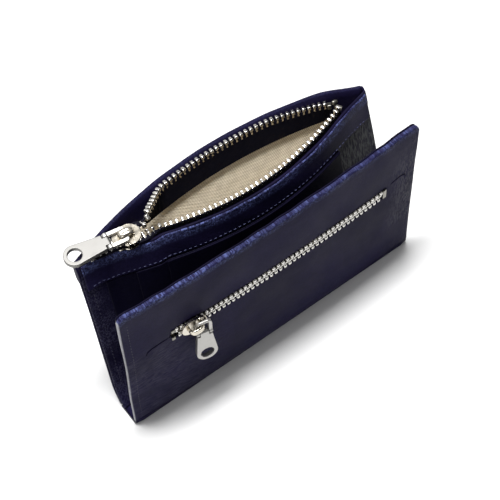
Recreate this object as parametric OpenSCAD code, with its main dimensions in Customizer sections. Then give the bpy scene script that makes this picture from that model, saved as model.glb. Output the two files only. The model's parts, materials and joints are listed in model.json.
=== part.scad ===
// Bifold travel wallet for a passport, standing on its spine with both leaves apart.
// Rear leaf: zipped pouch with card slots. Front leaf: zipped slit pocket and a slip
// pocket for the passport. +X along the spine, +Y to the back, +Z up; the spine lies on Z = 0.

/* [Leaves] */
// Length of both leaves along the spine
leaf_w = 156; // [140:1:175]
// Height of the front leaf
leaf_h = 97.4; // [92:0.2:110]
// Height of the pouch leaf at its ends
pouch_h = 89.6; // [84:0.2:100]
// Radius of the front leaf's top corners
corner_r = 4; // [1.5:0.5:6]

/* [Leather] */
// Thickness of the outer cover leather
cover_t = 1.3; // [1:0.1:1.6]
// Thickness that a turned edge adds to the cover
hem_t = 1; // [0.6:0.1:1.2]
// Width of the turned edges
hem_w = 8; // [6:0.5:10]
// Thickness of the inner leather panels
panel_t = 0.9; // [0.6:0.1:1.2]
// Thickness of each card slot panel
card_t = 0.6; // [0.4:0.05:0.7]
// Thickness of the spine piece
base_t = 1.6; // [1.2:0.1:2]
// Radius of the rolled fold that the front leaf turns on
fold_r = 1.4; // [1.2:0.1:1.8]
// Gap between layers that are glued or sewn together
layer_gap = 0.05; // [0.03:0.01:0.08]
// Gap between the fold and the front leaf
fold_gap = 0.3; // [0.2:0.05:0.5]

/* [Stance] */
// Backward lean of the front leaf in degrees
front_lean = 2; // [1:0.5:4]
// Outward bow of the front leaf at mid-length
front_bow = 2.6; // [1:0.1:3.5]
// Distance from the front of the fold to the foot of the pouch leaf's side seam
seam_foot = 16.4; // [16:0.2:20]
// Backward lean of the pouch leaf's side seams in degrees
seam_lean = 13.5; // [12:0.5:18]
// Extra set-back of the side seams at the top
seam_curl = 3.2; // [1:0.2:5]
// How far the side seam's heel is drawn in at the bottom
heel_draw = 5.5; // [4:0.5:6]
// Height of the rounded heel
heel_h = 12; // [10:0.5:14]
// Combined thickness of the two pouch walls at a side seam
seam_t = 3.9; // [3.8:0.1:4.6]
// Backward bow of the rear wall at its foot
rear_bow_foot = 9; // [7:0.5:11]
// Backward bow of the rear wall at the mouth
rear_bow_mouth = 16; // [13:0.1:18]
// Forward bow of the pouch's front wall at its foot
belly_foot = 5.6; // [4:0.2:6]
// Forward bow of the pouch's front wall at the mouth
belly_mouth = 17.6; // [15:0.2:18]
// Place along X where the front wall bows most
belly_x = 8; // [4:1:12]
// Distance from a leaf's end to where the front wall's bow runs out
belly_end = 8; // [6:1:12]
// How far the pouch leaf's right top corner sinks
right_drop = 2.6; // [0:0.2:4]
// Drop of the rear wall's top edge at mid-length
rear_drop = 2.6; // [2:0.2:5]
// Rise of the front wall's top edge at its fullest
front_rise = 2.4; // [1:0.2:3]
// How far the ends draw in at the mouth as the walls bow
end_draw = 3; // [2:0.2:4]
// Dip of the front wall's top edge under the slider
slider_dip = 1.6; // [1.4:0.1:2.4]

/* [Pouch details] */
// Height of the stitched band along the pouch's front wall
band_h = 14; // [11:0.5:18]
// Height of the card slots' lower edge above the table
card_foot = 9.5; // [8:0.5:12]
// Distance from the left end to the first card slot's open edge
card_left = 11.5; // [10:0.5:16]
// Step between the open edges of the card slots
card_step = 13; // [10:0.5:15]
// Distance from the right end to where all card slots are sewn shut
card_right = 26; // [20:1:32]
// Thickness of the lining cloth
lining_t = 0.35; // [0.25:0.05:0.4]
// Thickness of the leather caps on the pouch's top corners
cap_t = 1.2; // [0.8:0.1:1.6]
// Length of the caps down the side seams
cap_h = 10; // [7:0.5:14]

/* [Front leaf details] */
// Height of the front zip above the table
zip_z = 62; // [56:0.5:68]
// Distance from the left end to the leather slit
slit_left = 21.5; // [18:0.5:22]
// Distance from the right end to the leather slit
slit_right = 16; // [12:0.5:18]
// Half width of the leather slit
slit_half = 3.75; // [3.7:0.05:4.2]
// Depth of the zip pocket behind the tapes
pocket_deep = 1.45; // [1.4:0.05:2]
// Depth of the slip pocket for the passport
passport_deep = 0.8; // [0.5:0.1:1.2]
// Distance from the leaf's top edge to the slip pocket's open edge
passport_drop = 12; // [9:0.5:20]

/* [Zip chain] */
// Distance between two teeth on one side
pitch = 2.5; // [2.4:0.05:2.7]
// Length of a tooth from its foot to its tip
tooth_len = 3.5; // [3.3:0.1:3.7]
// Thickness of a tooth through the tape
tooth_t = 2.6; // [2.2:0.1:2.7]
// Width of a tooth's head along the chain
head_w = 1.15; // [1:0.05:1.2]
// Width of a tooth's legs along the chain
leg_w = 1.44; // [1.3:0.02:1.6]
// How far the heads of the two sides overlap when closed
mesh_depth = 1; // [0.8:0.1:1.1]
// Thickness of the zip tape
tape_t = 0.5; // [0.4:0.05:0.55]
// Width of the tape beyond the teeth
tape_w = 10; // [8:0.5:11]
// Play between the tape and a tooth's legs, on each side
tape_play = 0.2; // [0.15:0.05:0.22]

/* [Sliders] */
// Length of a slider along the chain
slider_len = 12.5; // [12:0.5:14]
// Half width of a slider at its wide end
slider_half = 4.9; // [4.8:0.1:5.2]
// Thickness of a slider's plates
plate_t = 1; // [0.8:0.1:1.1]
// Play between the teeth and the plates
chain_play = 0.15; // [0.1:0.05:0.2]
// Spread of each side of the chain round the slider's wedge
wedge_spread = 1.05; // [1:0.05:1.1]
// Width of the bridge across the chain
bridge_w = 3; // [2.4:0.1:3.2]
// Thickness of the bridge
bridge_t = 1.5; // [1.2:0.1:1.6]
// Distance from the slit's left end to the middle of the front slider
front_slider_in = 11.9; // [11.5:0.1:14]
// Distance from the left end to the middle of the top slider
top_slider_in = 26.6; // [25:0.1:29]
// Distance from the side seams forward to the top slider
top_slider_set = 5.2; // [5:0.1:6]
// Distance from the right end to the round end of the pouch's mouth
mouth_right = 16.5; // [13:0.5:18]
// Height of the top slider's chain above the pouch leaf's ends
top_slider_up = 1.6; // [1.5:0.1:2]
// Turn of the top slider about +Z in degrees
top_slider_yaw = -9.5; // [-12:0.5:-6]

/* [Pulls] */
// Distance from the link's bar to the hinge pin
link_len = 8.2; // [7.8:0.1:9]
// Width of the link outside
link_w = 7.4; // [7.2:0.1:8]
// Thickness of the link
link_t = 1.6; // [1.4:0.1:1.7]
// Length of the tab from its pin to its tip
tab_len = 19.6; // [17:0.2:23]
// Width of the tab at its shoulder
tab_w0 = 7; // [6.6:0.1:8]
// Width of the tab across its eye
tab_w1 = 9.8; // [9.4:0.1:11]
// Thickness of the tab
tab_t = 2.3; // [1.8:0.1:2.4]
// Radius of the eye in the tab
eye_r = 3.1; // [2.4:0.1:3.3]
// Radius of the hinge pin
pin_r = 0.5; // [0.4:0.05:0.6]
// Radial play of the pin in the link
pin_play = 0.05; // [0.03:0.01:0.08]
// Outward hang of the front tab in degrees
front_tab_hang = 5.5; // [5:0.5:10]
// Turn of the front pull about its own length in degrees, its right side outwards
front_twist = 10; // [4:1:12]

/* [Hidden] */

navy = [0.07, 0.08, 0.2];
navy_dark = [0.04, 0.045, 0.12];
beige = [0.78, 0.72, 0.6];
nickel = [0.82, 0.81, 0.78];

half_w = leaf_w / 2;
belly_half = half_w - belly_end;
card_x = card_left - half_w;
card_end_x = half_w - card_right;
slit_x0 = slit_left - half_w;
slit_x1 = half_w - slit_right;
front_slider_x = slit_x0 + front_slider_in;
top_slider_x = top_slider_in - half_w;
fold_y = fold_r + 0.1;
fold_z = fold_r + 0.1;
base_mid = (fold_y + rear_y(0, base_t)) / 2;
front_foot = fold_z + fold_r + fold_gap;
wall_foot = base_t + 2 * layer_gap;
cloth_foot = wall_foot + 0.4;

// ---- small helpers ----
function mix(a, b, t) = a * (1 - t) + b * t;
function ease(t) = t <= 0 ? 0 : t >= 1 ? 1 : t * t * (3 - 2 * t);
function unit(v) = v / norm(v);
// values from lo to hi that keep the shared grid lines of n cells over -1 to 1
function span(lo, hi, n) = concat(
    [lo],
    [for (i = [0:n]) let (g = 2 * i / n - 1) if (g > lo + 0.004 && g < hi - 0.004) g],
    [hi]);

// solid between a front and a back surface, each a function of two parameters
module sheet(front, back, us, vs) {
    nu = len(us);
    nv = len(vs);
    n = nu * nv;
    function id(k, i, j) = k * n + i * nv + j;
    points = concat([for (u = us) for (v = vs) front(u, v)],
                    [for (u = us) for (v = vs) back(u, v)]);
    walls = [for (i = [0:nu - 2]) for (j = [0:nv - 2]) each [
        [id(0, i, j), id(0, i, j + 1), id(0, i + 1, j + 1)],
        [id(0, i, j), id(0, i + 1, j + 1), id(0, i + 1, j)],
        [id(1, i, j), id(1, i + 1, j + 1), id(1, i, j + 1)],
        [id(1, i, j), id(1, i + 1, j), id(1, i + 1, j + 1)]]];
    t = nv - 1;
    ends = [for (i = [0:nu - 2]) each [
        [id(0, i, 0), id(0, i + 1, 0), id(1, i + 1, 0)],
        [id(0, i, 0), id(1, i + 1, 0), id(1, i, 0)],
        [id(0, i + 1, t), id(0, i, t), id(1, i, t)],
        [id(0, i + 1, t), id(1, i, t), id(1, i + 1, t)]]];
    r = nu - 1;
    sides = [for (j = [0:nv - 2]) each [
        [id(0, 0, j + 1), id(0, 0, j), id(1, 0, j)],
        [id(0, 0, j + 1), id(1, 0, j), id(1, 0, j + 1)],
        [id(0, r, j), id(0, r, j + 1), id(1, r, j + 1)],
        [id(0, r, j), id(1, r, j + 1), id(1, r, j)]]];
    polyhedron(points, concat(walls, ends, sides));
}

// ---- pouch leaf: walls as functions of u (-1 to 1 along X) and height z ----
function seam_y(z) = seam_foot + z * tan(seam_lean) + seam_curl * pow(z / pouch_h, 2)
    - heel_draw * pow(max(0, 1 - z / heel_h), 2);
function wall_x(u, z) = u * (half_w - end_draw * z / pouch_h);
function belly(x) = pow(max(0, 1 - pow((x - belly_x) / belly_half, 2)), 1.2);
function rear_y(u, z) = seam_y(z)
    + mix(rear_bow_foot, rear_bow_mouth, z / pouch_h) * (1 - u * u);
function front_y(u, z) = seam_y(z) - seam_t
    - mix(belly_foot, belly_mouth, z / pouch_h) * belly(wall_x(u, z));
function sag(u) = right_drop * ease((u - 0.76) / 0.24);
function rear_top(u) = pouch_h - rear_drop * (1 - u * u) - sag(u);
function dip(x) = slider_dip * (1 - ease((abs(x - top_slider_x + 1) - 9.5) / 5.5));
function front_top(u) = let (x = wall_x(u, pouch_h))
    pouch_h + front_rise * belly(x) - dip(x) - sag(u);
// a level is [share of the wall's height, millimetres added to it]
function rear_at(u, lv, o) = let (z = lv[0] * rear_top(u) + lv[1])
    [wall_x(u, z), rear_y(u, z) - o, z];
function front_at(u, lv, o) = let (z = lv[0] * front_top(u) + lv[1])
    [wall_x(u, z), front_y(u, z) + o, z];

grid_n = 24;
heel_levels = [[0, wall_foot], [0, 4], [0, 7], [0, card_foot], [0, 14], [0.4, 2], [0.7, 0]];

module rear_cover() {
    hem = -hem_w - 0.4;
    color(navy) sheet(
        function(u, lv) rear_at(u, lv, lv[1] < hem + 0.2 || lv[0] < 1 ? cover_t : cover_t + hem_t),
        function(u, lv) rear_at(u, lv, 0),
        span(-1, 1, grid_n),
        concat(heel_levels, [[1, hem], [1, hem + 0.3], [1, 0]]));
}

module spine_base() {
    back = [for (u = span(-1, 1, grid_n)) [u * half_w, rear_y(u, base_t) - 0.2]];
    color(navy_dark) union() {
        linear_extrude(base_t)
            polygon(concat([[half_w, fold_y], [-half_w, fold_y]], back));
        translate([-half_w, fold_y, fold_z]) rotate([0, 90, 0])
            cylinder(h = leaf_w, r = fold_r, $fn = 48);
    }
}

module pouch_front_panel() {
    color(navy) sheet(
        function(u, lv) front_at(u, lv, 0),
        function(u, lv) front_at(u, lv, cover_t),
        span(-1, 1, grid_n), concat(heel_levels, [[1, -band_h], [1, 0]]));
}

module pouch_top_band() {
    color(navy) sheet(
        function(u, lv) front_at(u, lv, -layer_gap - panel_t),
        function(u, lv) front_at(u, lv, -layer_gap),
        span(-0.985, 0.985, grid_n), [[1, -band_h], [1, -band_h / 2], [1, -0.2]]);
}

cloth_levels = [[0, cloth_foot], [0, 4], [0, 7], [0, card_foot], [0, 14], [0.4, 2], [0.7, 0]];
cloth_drop = tape_w + tooth_len + 0.6;

module pouch_lining_rear() {
    color(beige) sheet(
        function(u, lv) rear_at(u, lv, cover_t + layer_gap + lining_t),
        function(u, lv) rear_at(u, lv, cover_t + layer_gap),
        span(-0.975, 0.975, grid_n), concat(cloth_levels, [[1, -cloth_drop]]));
}

module pouch_lining_front() {
    color(beige) sheet(
        function(u, lv) front_at(u, lv, cover_t + layer_gap),
        function(u, lv) front_at(u, lv, cover_t + layer_gap + lining_t),
        span(-0.975, 0.975, grid_n), concat(cloth_levels, [[1, -cloth_drop]]));
}

// one card slot panel, k = 0 for the one nearest the wall
module card_panel(k) {
    o = -layer_gap - k * (card_t + layer_gap);
    mid_w = half_w - end_draw / 2;
    color(navy_dark) sheet(
        function(u, lv) front_at(u, lv, o - card_t),
        function(u, lv) front_at(u, lv, o),
        span((card_x + k * card_step) / mid_w, card_end_x / mid_w, grid_n),
        [[0, card_foot], [0, 14], [0.4, 2], [0.7, 0], [1, -band_h - 0.3]]);
}

module corner_cap(side) {
    grow = (cap_t + 0.1) / half_w;
    us = side > 0 ? [1 + 0.1 / half_w, 1 + grow] : [-1 - grow, -1 - 0.1 / half_w];
    function level(lv) = pouch_h + lv - (side > 0 ? right_drop : 0);
    color(navy_dark) sheet(
        function(u, lv) let (z = level(lv)) [wall_x(u, z), seam_y(z) - seam_t + 0.2, z],
        function(u, lv) let (z = level(lv)) [wall_x(u, z), seam_y(z) - 0.2, z],
        us, [-cap_h, -cap_h / 2, -0.2, 0.5]);
}

// ---- zip chain ----
closed_foot = tooth_len - mesh_depth / 2;
slot_deep = 1.4;
tape_in = 1.2;

// tooth in its own frame: x along the chain, y from foot to tip, z through the tape
module tooth() {
    neck = tooth_len - 1.3;
    h = head_w / 2;
    l = leg_w / 2;
    difference() {
        linear_extrude(tooth_t, center = true) polygon([
            [-l, 0], [l, 0], [l, neck - 0.4], [0.42, neck - 0.1], [0.42, neck + 0.2],
            [h, neck + 0.5], [h, tooth_len - 0.25], [h - 0.25, tooth_len],
            [0.25 - h, tooth_len], [-h, tooth_len - 0.25], [-h, neck + 0.5],
            [-0.42, neck + 0.2], [-0.42, neck - 0.1], [-l, neck - 0.4]]);
        translate([-2, -1, -tape_t / 2 - tape_play])
            cube([4, 1 + slot_deep, tape_t + 2 * tape_play]);
    }
}

// crimped stop on one side of the chain, in the frame of a tooth
module side_stop() {
    difference() {
        translate([-stop_w / 2, 0, -tooth_t / 2]) cube([stop_w, 2.2, tooth_t]);
        translate([-2, -1, -tape_t / 2 - tape_play])
            cube([4, 1 + slot_deep, tape_t + 2 * tape_play]);
    }
}

// places its children at p, x along t and y near a
module seat(p, t, a) {
    x = unit(t);
    y = unit(a - (a * x) * x);
    z = cross(x, y);
    multmatrix([[x[0], y[0], z[0], p[0]],
                [x[1], y[1], z[1], p[1]],
                [x[2], y[2], z[2], p[2]]]) children();
}

// ---- top zip: each row as a curve over x, side = 1 rear, -1 front ----
top_z = pouch_h + top_slider_up;
top_slider_y = seam_y(pouch_h) - top_slider_set;
slider_dir = [cos(top_slider_yaw), sin(top_slider_yaw), 0];
slider_across = [-sin(top_slider_yaw), cos(top_slider_yaw), 0];
top_center = [top_slider_x, top_slider_y, top_z];
chain_tail = 9;
row_x0 = top_slider_x - (slider_len / 2 + chain_tail) * slider_dir[0];
exit_x = top_slider_x + slider_len / 2 * slider_dir[0];
mouth_x1 = half_w - mouth_right;
mouth_round = 8.5;
mouth_sink = 2.4;
mouth_run = 33;
rear_in = (cover_t + hem_t + 2 * layer_gap + tooth_t / 2) / cos(24);
front_in = cover_t + 2 * layer_gap + tooth_t / 2 + 0.65;

function spread(s) = wedge_spread * ease(s / (slider_len / 2 - 0.5));
function near_u(x) = x / (half_w - end_draw);
function leave(x, side) = ease((x - exit_x + 1.5) / (side > 0 ? 24 : 12.5));
function closing(x) = x <= mouth_x1 - mouth_round ? 1
    : sqrt(max(0, 1 - pow((x - mouth_x1 + mouth_round) / mouth_round, 2)));
function slider_row(x, side) = let (s = (x - top_slider_x) / slider_dir[0])
    top_center + s * slider_dir + side * (closed_foot + spread(s)) * slider_across;
function rim_row(x, side) = let (
        u = near_u(x),
        c = closing(x),
        zr = rear_top(u) - tooth_len + 0.2 - mouth_sink * ease(1 - (mouth_x1 - x) / mouth_run),
        zf = front_top(u) - 1.2,
        ry = rear_y(u, zr) - rear_in,
        fy = front_y(u, zf) + front_in,
        my = (ry + fy) / 2,
        mz = pouch_h - 4.5)
    side > 0 ? [x, mix(my, ry, c), mix(mz, zr, c)]
             : [x, mix(my, fy, c), mix(mz, zf, c)];
function row_at(x, side) = mix(slider_row(x, side), rim_row(x, side), leave(x, side));
// the row's course runs over q in 0 to 1, with its steps drawn together at the round end
function course_x(q) = q < 0.9 ? mix(row_x0, mouth_x1 - mouth_round, q / 0.9)
    : mouth_x1 - mouth_round + mouth_round * sin(600 * (q - 0.9));
function row_q(q, side) = row_at(course_x(q), side);
row_steps = 300;
function row_table(side, i = 1, s = 0, acc = [[0, 0]]) = i > row_steps ? acc
    : let (s1 = s + norm(row_q(i / row_steps, side) - row_q((i - 1) / row_steps, side)))
      row_table(side, i + 1, s1, concat(acc, [[s1, i / row_steps]]));
rear_table = row_table(1);
front_table = row_table(-1);
function table(side) = side > 0 ? rear_table : front_table;
function row_len(side) = table(side)[row_steps][0];
function row_point(s, side) = row_q(lookup(s, table(side)), side);
function row_tangent(s, side) = unit(row_point(s + 0.4, side) - row_point(s - 0.4, side));
lean_up = [0, sin(24), cos(24)];
function row_tip(s, side) = let (
        x = row_point(s, side)[0],
        up = side > 0 ? lean_up : [0, 0, 1])
    unit(mix(-side * slider_across, up, ease((x - exit_x + 1) / 12)));
function row_first(side) = side > 0 ? pitch / 2 : pitch;
stop_w = 1.8;
stop_step = leg_w / 2 + stop_w / 2 + 0.3;
row_stop_room = stop_step + stop_w / 2;
function row_count(side) = floor((row_len(side) - row_stop_room - row_first(side)) / pitch);
function row_s(i, side) = row_first(side) + i * pitch;

module top_teeth(side) {
    color(nickel) for (i = [0:row_count(side)]) let (s = row_s(i, side))
        seat(row_point(s, side), row_tangent(s, side), row_tip(s, side)) tooth();
}

// tape: its inner edge sits in the teeth, its outer edge lies on the wall
function tape_root(s, side) = let (p = row_point(s, side), x = p[0], u = near_u(x),
        w = ease((x - exit_x - 1) / 10),
        low = side > 0 ? rear_top(u) - tooth_len - tape_w : front_top(u) - 1.2 - tape_w,
        wall = side > 0
            ? [x, mix(p[1], rear_y(u, low) - cover_t - hem_t - layer_gap - tape_t, closing(x)), low]
            : [x, mix(p[1], front_y(u, low) + cover_t + 2 * layer_gap + tape_t / 2 + lining_t,
                      closing(x)), low])
    mix(p - (side > 0 ? 1.5 : 0.7) * row_tip(s, side), wall, w)
        + [0, side > 0 ? 0 : 2.9 * w * (1 - w), 0];

module top_tape(side) {
    stations = concat([0.3], [for (i = [0:row_count(side)]) row_s(i, side)],
                      [row_s(row_count(side), side) + stop_step + 0.4]);
    function through(s) = let (t = row_tangent(s, side), a = row_tip(s, side))
        unit(cross(t, a - (a * t) * t)) * tape_t / 2;
    function across(s) = let (t = row_tangent(s, side), a = row_tip(s, side))
        unit(a - (a * t) * t);
    function at(s, v) = v == 1 ? row_point(s, side) + tape_in * across(s)
        : v == 0.9 ? row_point(s, side) - 0.05 * across(s)
        : mix(tape_root(s, side), row_point(s, side) - 0.05 * across(s), v / 0.9);
    color(navy_dark) sheet(
        function(s, v) at(s, v) + through(s),
        function(s, v) at(s, v) - through(s),
        stations, [0, 0.9, 1]);
}

module top_zip_bottom_stop() {
    wide = 2 * closed_foot;
    color(nickel) translate(top_center) rotate([0, 0, top_slider_yaw])
        translate([-slider_len / 2 - chain_tail - 0.9, 0, 0]) difference() {
            cube([2.2, wide, tooth_t], center = true);
            for (m = [0, 1]) mirror([0, m, 0])
                translate([-3, closed_foot - slot_deep, -tape_t / 2 - tape_play])
                    cube([6, 3, tape_t + 2 * tape_play]);
        }
}

module top_zip_end_stops() {
    color(nickel) for (side = [1, -1]) let (s = row_s(row_count(side), side) + stop_step)
        seat(row_point(s, side), row_tangent(s, side), row_tip(s, side)) side_stop();
}

// ---- front leaf: surface as a function of u and height z, o millimetres inwards ----
lean_k = tan(front_lean);
function ramp(z) = z >= 14 ? 1 : sin(90 * z / 14);
function leaf_y(x, z) = z * lean_k - front_bow * (1 - pow(x / half_w, 2)) * ramp(z);
function leaf_top(u) = let (d = (1 - abs(u)) * half_w)
    leaf_h - (d >= corner_r ? 0 : corner_r - sqrt(pow(corner_r, 2) - pow(corner_r - d, 2)));
function leaf_at(u, lv, o) = let (z = lv[0] * leaf_top(u) + lv[1])
    [u * half_w, leaf_y(u * half_w, z) + o, z];
hem_u = 1 - hem_w / half_w;
corner_us = [for (k = [0, 0.35, 1, 2]) 1 - k * corner_r / 2 / half_w];
function mirrored(list) = concat([for (i = [0:len(list) - 1]) -list[i]],
                                 [for (i = [len(list) - 1:-1:0]) list[i]]);
// both sides' lines from the edge inwards, with even steps between
function leaf_us(edge, inner, n) = concat(
    [for (e = edge) -e], [for (i = [0:n]) mix(-inner, inner, i / n)],
    [for (i = [len(edge) - 1:-1:0]) edge[i]]);

module slit() {
    wide = wedge_spread + closed_foot + 0.8;
    grip = slit_half;
    rotate([90, 0, 0]) linear_extrude(30, center = true) {
        translate([slit_x0, zip_z - grip]) square([slit_x1 - slit_x0, 2 * grip]);
        translate([slit_x0, zip_z - wide])
            square([front_slider_x - slit_x0 + 2, 2 * wide]);
    }
}

module front_cover() {
    function lining_side(u, lv) = abs(u) > hem_u + 0.002 || (lv[0] < 1 && lv[1] < front_foot + hem_w)
        || (lv[0] == 1 && lv[1] > -hem_w - 0.1) ? cover_t + hem_t : cover_t;
    color(navy) difference() {
        sheet(
            function(u, lv) leaf_at(u, lv, 0),
            function(u, lv) leaf_at(u, lv, lining_side(u, lv)),
            leaf_us(concat(corner_us, [hem_u + 0.004]), hem_u, 12),
            [[0, front_foot], [0, front_foot + 2], [0, front_foot + 5.2], [0, front_foot + hem_w - 0.3],
             [0, front_foot + hem_w], [0, 14.5], [1, -hem_w - 0.3], [1, -hem_w], [1, 0]]);
        slit();
    }
}

// depth of the inner panel behind the cover's face: deeper over the zip pocket
panel_deep = cover_t + hem_t + layer_gap;
pocket_z0 = front_foot + hem_w + 0.8;
function hollow(u, z) = ease((hem_u - abs(u)) / 0.06) * ease((z - pocket_z0) / 8)
    * ease((leaf_h - hem_w - z) / 8);
function panel_o(u, lv) = panel_deep + pocket_deep * hollow(u, lv[0] * leaf_top(u) + lv[1]);
hollow_us = [hem_u - 0.002, hem_u - 0.02, hem_u - 0.04];
hollow_levels = [for (d = [0.5, 2.5, 5.5, 8]) [0, pocket_z0 + d]];
hollow_tops = [for (d = [8, 5.5, 2.5, 0.6]) [1, -hem_w - d]];

module front_pocket_lining() {
    color(beige) sheet(
        function(u, lv) leaf_at(u, lv, panel_o(u, lv) - 2 * layer_gap - lining_t),
        function(u, lv) leaf_at(u, lv, panel_o(u, lv) - 2 * layer_gap),
        leaf_us(hollow_us, hem_u - 0.06, 12),
        concat(hollow_levels, hollow_tops));
}

module front_inner_panel() {
    color(navy_dark) sheet(
        function(u, lv) leaf_at(u, lv, panel_o(u, lv)),
        function(u, lv) leaf_at(u, lv, panel_o(u, lv) + panel_t),
        leaf_us(concat([for (c = corner_us) c - 0.006], hollow_us), hem_u - 0.06, 12),
        concat([for (d = [0.3, 2, 5.2, 5.5, hem_w - 0.3, hem_w]) [0, front_foot + d]], hollow_levels, hollow_tops,
               [[1, -0.5]]));
}

module passport_pocket() {
    near = panel_t + layer_gap;
    rim_u = 0.93;
    color(navy_dark) sheet(
        function(u, lv) leaf_at(u, lv, panel_o(u, lv) + near
            + (abs(u) > rim_u || (lv[0] < 1 && lv[1] < front_foot + 5.5) ? 0 : passport_deep)),
        function(u, lv) leaf_at(u, lv, panel_o(u, lv) + near + passport_deep + panel_t),
        leaf_us([0.965, rim_u + 0.004, rim_u - 0.001, hem_u - 0.02, hem_u - 0.04],
                hem_u - 0.06, 12),
        concat([[0, front_foot + 2], [0, front_foot + 5.2], [0, front_foot + 5.5]],
               hollow_levels, [[1, -hem_w - 8], [1, -passport_drop]]));
}

// ---- front zip ----
chain_o = 0.7;
function front_spread(x) = wedge_spread * ease((front_slider_x - x) / (slider_len / 2 - 0.5));
function chain_point(x, side) = let (z = zip_z + side * (closed_foot + front_spread(x)))
    [x, leaf_y(x, z) + chain_o, z];
function chain_tangent(x, side) = unit(chain_point(x + 0.2, side) - chain_point(x - 0.2, side));
chain_x0 = slit_x0 + 3.1;
chain_x1 = slit_x1 - 2.5;
tape_dive = 0.9;
function chain_x(i, side) = chain_x0 + 0.9 + (side > 0 ? 0 : pitch / 2) + i * pitch;
function chain_n(side) = floor((chain_x1 - 1.6 - chain_x(0, side)) / pitch);

module front_teeth(side) {
    color(nickel) for (i = [0:chain_n(side)]) let (x = chain_x(i, side))
        seat(chain_point(x, side), chain_tangent(x, side), [0, -side * lean_k, -side]) tooth();
}

module front_tape(side) {
    xs = concat([slit_x0 - 3, slit_x0 + 0.1, slit_x0 + 0.1 + tape_dive],
                [for (i = [0:chain_n(side)]) chain_x(i, side)],
                [slit_x1 - 0.1 - tape_dive, slit_x1 - 0.1, slit_x1 + 3]);
    function under(x) = x < slit_x0 + 0.2 || x > slit_x1 - 0.2;
    tape_o = cover_t + layer_gap + tape_t / 2;
    function foot(x) = closed_foot + front_spread(x);
    function t_at(x, k) = k == 0 ? foot(x) - tape_in : k == 1 ? foot(x) + 0.08
        : k == 2 ? foot(x) + 0.66 : tape_w + closed_foot;
    function at(x, k, d) = let (z = zip_z + side * t_at(x, k))
        [x, leaf_y(x, z) + (k < 2 && !under(x) ? chain_o : tape_o) + d, z];
    ks = side > 0 ? [0, 1, 2, 3] : [3, 2, 1, 0];
    color(navy_dark) sheet(
        function(x, k) at(x, k, -tape_t / 2),
        function(x, k) at(x, k, tape_t / 2), xs, ks);
}

module front_zip_bottom_stop() {
    wide = 2 * closed_foot;
    y = leaf_y(chain_x1, zip_z) + chain_o;
    color(nickel) seat([chain_x1, y, zip_z], chain_tangent(chain_x1, 1), [0, -lean_k, -1])
        difference() {
            cube([2, wide, tooth_t], center = true);
            for (m = [0, 1]) mirror([0, m, 0])
                translate([-3, closed_foot - slot_deep, -tape_t / 2 - tape_play])
                    cube([6, 3, tape_t + 2 * tape_play]);
        }
}

module front_zip_end_stops() {
    x = chain_x0 - 0.95;
    color(nickel) for (side = [1, -1])
        seat(chain_point(x, side), chain_tangent(x, side), [0, -side * lean_k, -side])
            side_stop();
}

// ---- slider, in its own frame: x along the chain to the wide end, z outwards ----
play_t = tooth_t / 2 + chain_play;
narrow_half = closed_foot + 0.6;
wedge_x = slider_len / 2 - 2.5;
ear_r = 1.25;
bridge_in = ear_r + link_t / 2 + 0.3;
bridge_top = play_t + plate_t + bridge_in + bridge_t;
arch_half = 3.8;
arch_r = 2.4;
link_z = play_t + plate_t + 0.15 + ear_r;

// two circles and the straight sides that touch both
module slider_outline(grow = 0) {
    x1 = slider_len / 2 - slider_half;
    x2 = narrow_half - slider_len / 2;
    s = (slider_half - narrow_half) / (x1 - x2);
    c = sqrt(1 - s * s);
    r1 = slider_half + grow;
    r2 = narrow_half + grow;
    translate([x1, 0]) circle(r = r1, $fn = 64);
    translate([x2, 0]) circle(r = r2, $fn = 64);
    polygon([[x1 + r1 * s, r1 * c], [x2 + r2 * s, r2 * c],
             [x2 + r2 * s, -r2 * c], [x1 + r1 * s, -r1 * c]]);
}

// block of half width w and height h that stands on the x axis, with its top corners round
module round_top(w, h, r) {
    translate([-w, 0]) square([2 * w, h - r]);
    translate([-w + r, 0]) square([2 * (w - r), h]);
    intersection() {
        for (x = [-w + r, w - r]) translate([x, h - r]) circle(r = r, $fn = 48);
        translate([-w, 0]) square([2 * w, h]);
    }
}

module slider_body() {
    color(nickel) difference() {
        union() {
            translate([0, 0, play_t]) linear_extrude(plate_t) slider_outline();
            translate([0, 0, -play_t - plate_t + 0.1])
                linear_extrude(plate_t - 0.1) slider_outline();
            // flanges under the top plate
            translate([0, 0, play_t - 0.45]) linear_extrude(0.5) difference() {
                slider_outline();
                slider_outline(-0.45);
                translate([slider_len / 2 - 3, -slider_half]) square([6, 2 * slider_half]);
                translate([-slider_len / 2 - 3, -closed_foot - 0.2])
                    square([6, 2 * closed_foot + 0.4]);
            }
            // wedge that parts the two sides and joins the plates
            translate([0, 0, -play_t - 0.05]) linear_extrude(2 * play_t + 0.1)
                polygon([[wedge_x, 0], [wedge_x + 1.2, 0.3], [slider_len / 2 - 0.3, 0.3],
                         [slider_len / 2 - 0.3, -0.3], [wedge_x + 1.2, -0.3]]);
        }
    }
}

module slider_bridge() {
    floor_z = play_t + plate_t + 0.02;
    side_r = bridge_w / 2;
    color(nickel) intersection() {
        rotate([90, 0, 0]) linear_extrude(bridge_w, center = true) difference() {
            translate([0, floor_z]) round_top(arch_half, bridge_in + bridge_t, arch_r);
            translate([0, floor_z - 1]) round_top(arch_half - bridge_t, 1 + bridge_in, arch_r - bridge_t);
        }
        linear_extrude(20) {
            for (x = [side_r - arch_half, arch_half - side_r])
                translate([x, 0]) circle(r = side_r, $fn = 48);
            square([2 * (arch_half - side_r), bridge_w], center = true);
        }
    }
}

// link in its own frame: bar at the origin across y, arms along -x to the pin
link_in = link_w / 2 - 1.55;
link_round = 2.3;
tongue_half = link_in - 0.2;

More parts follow.
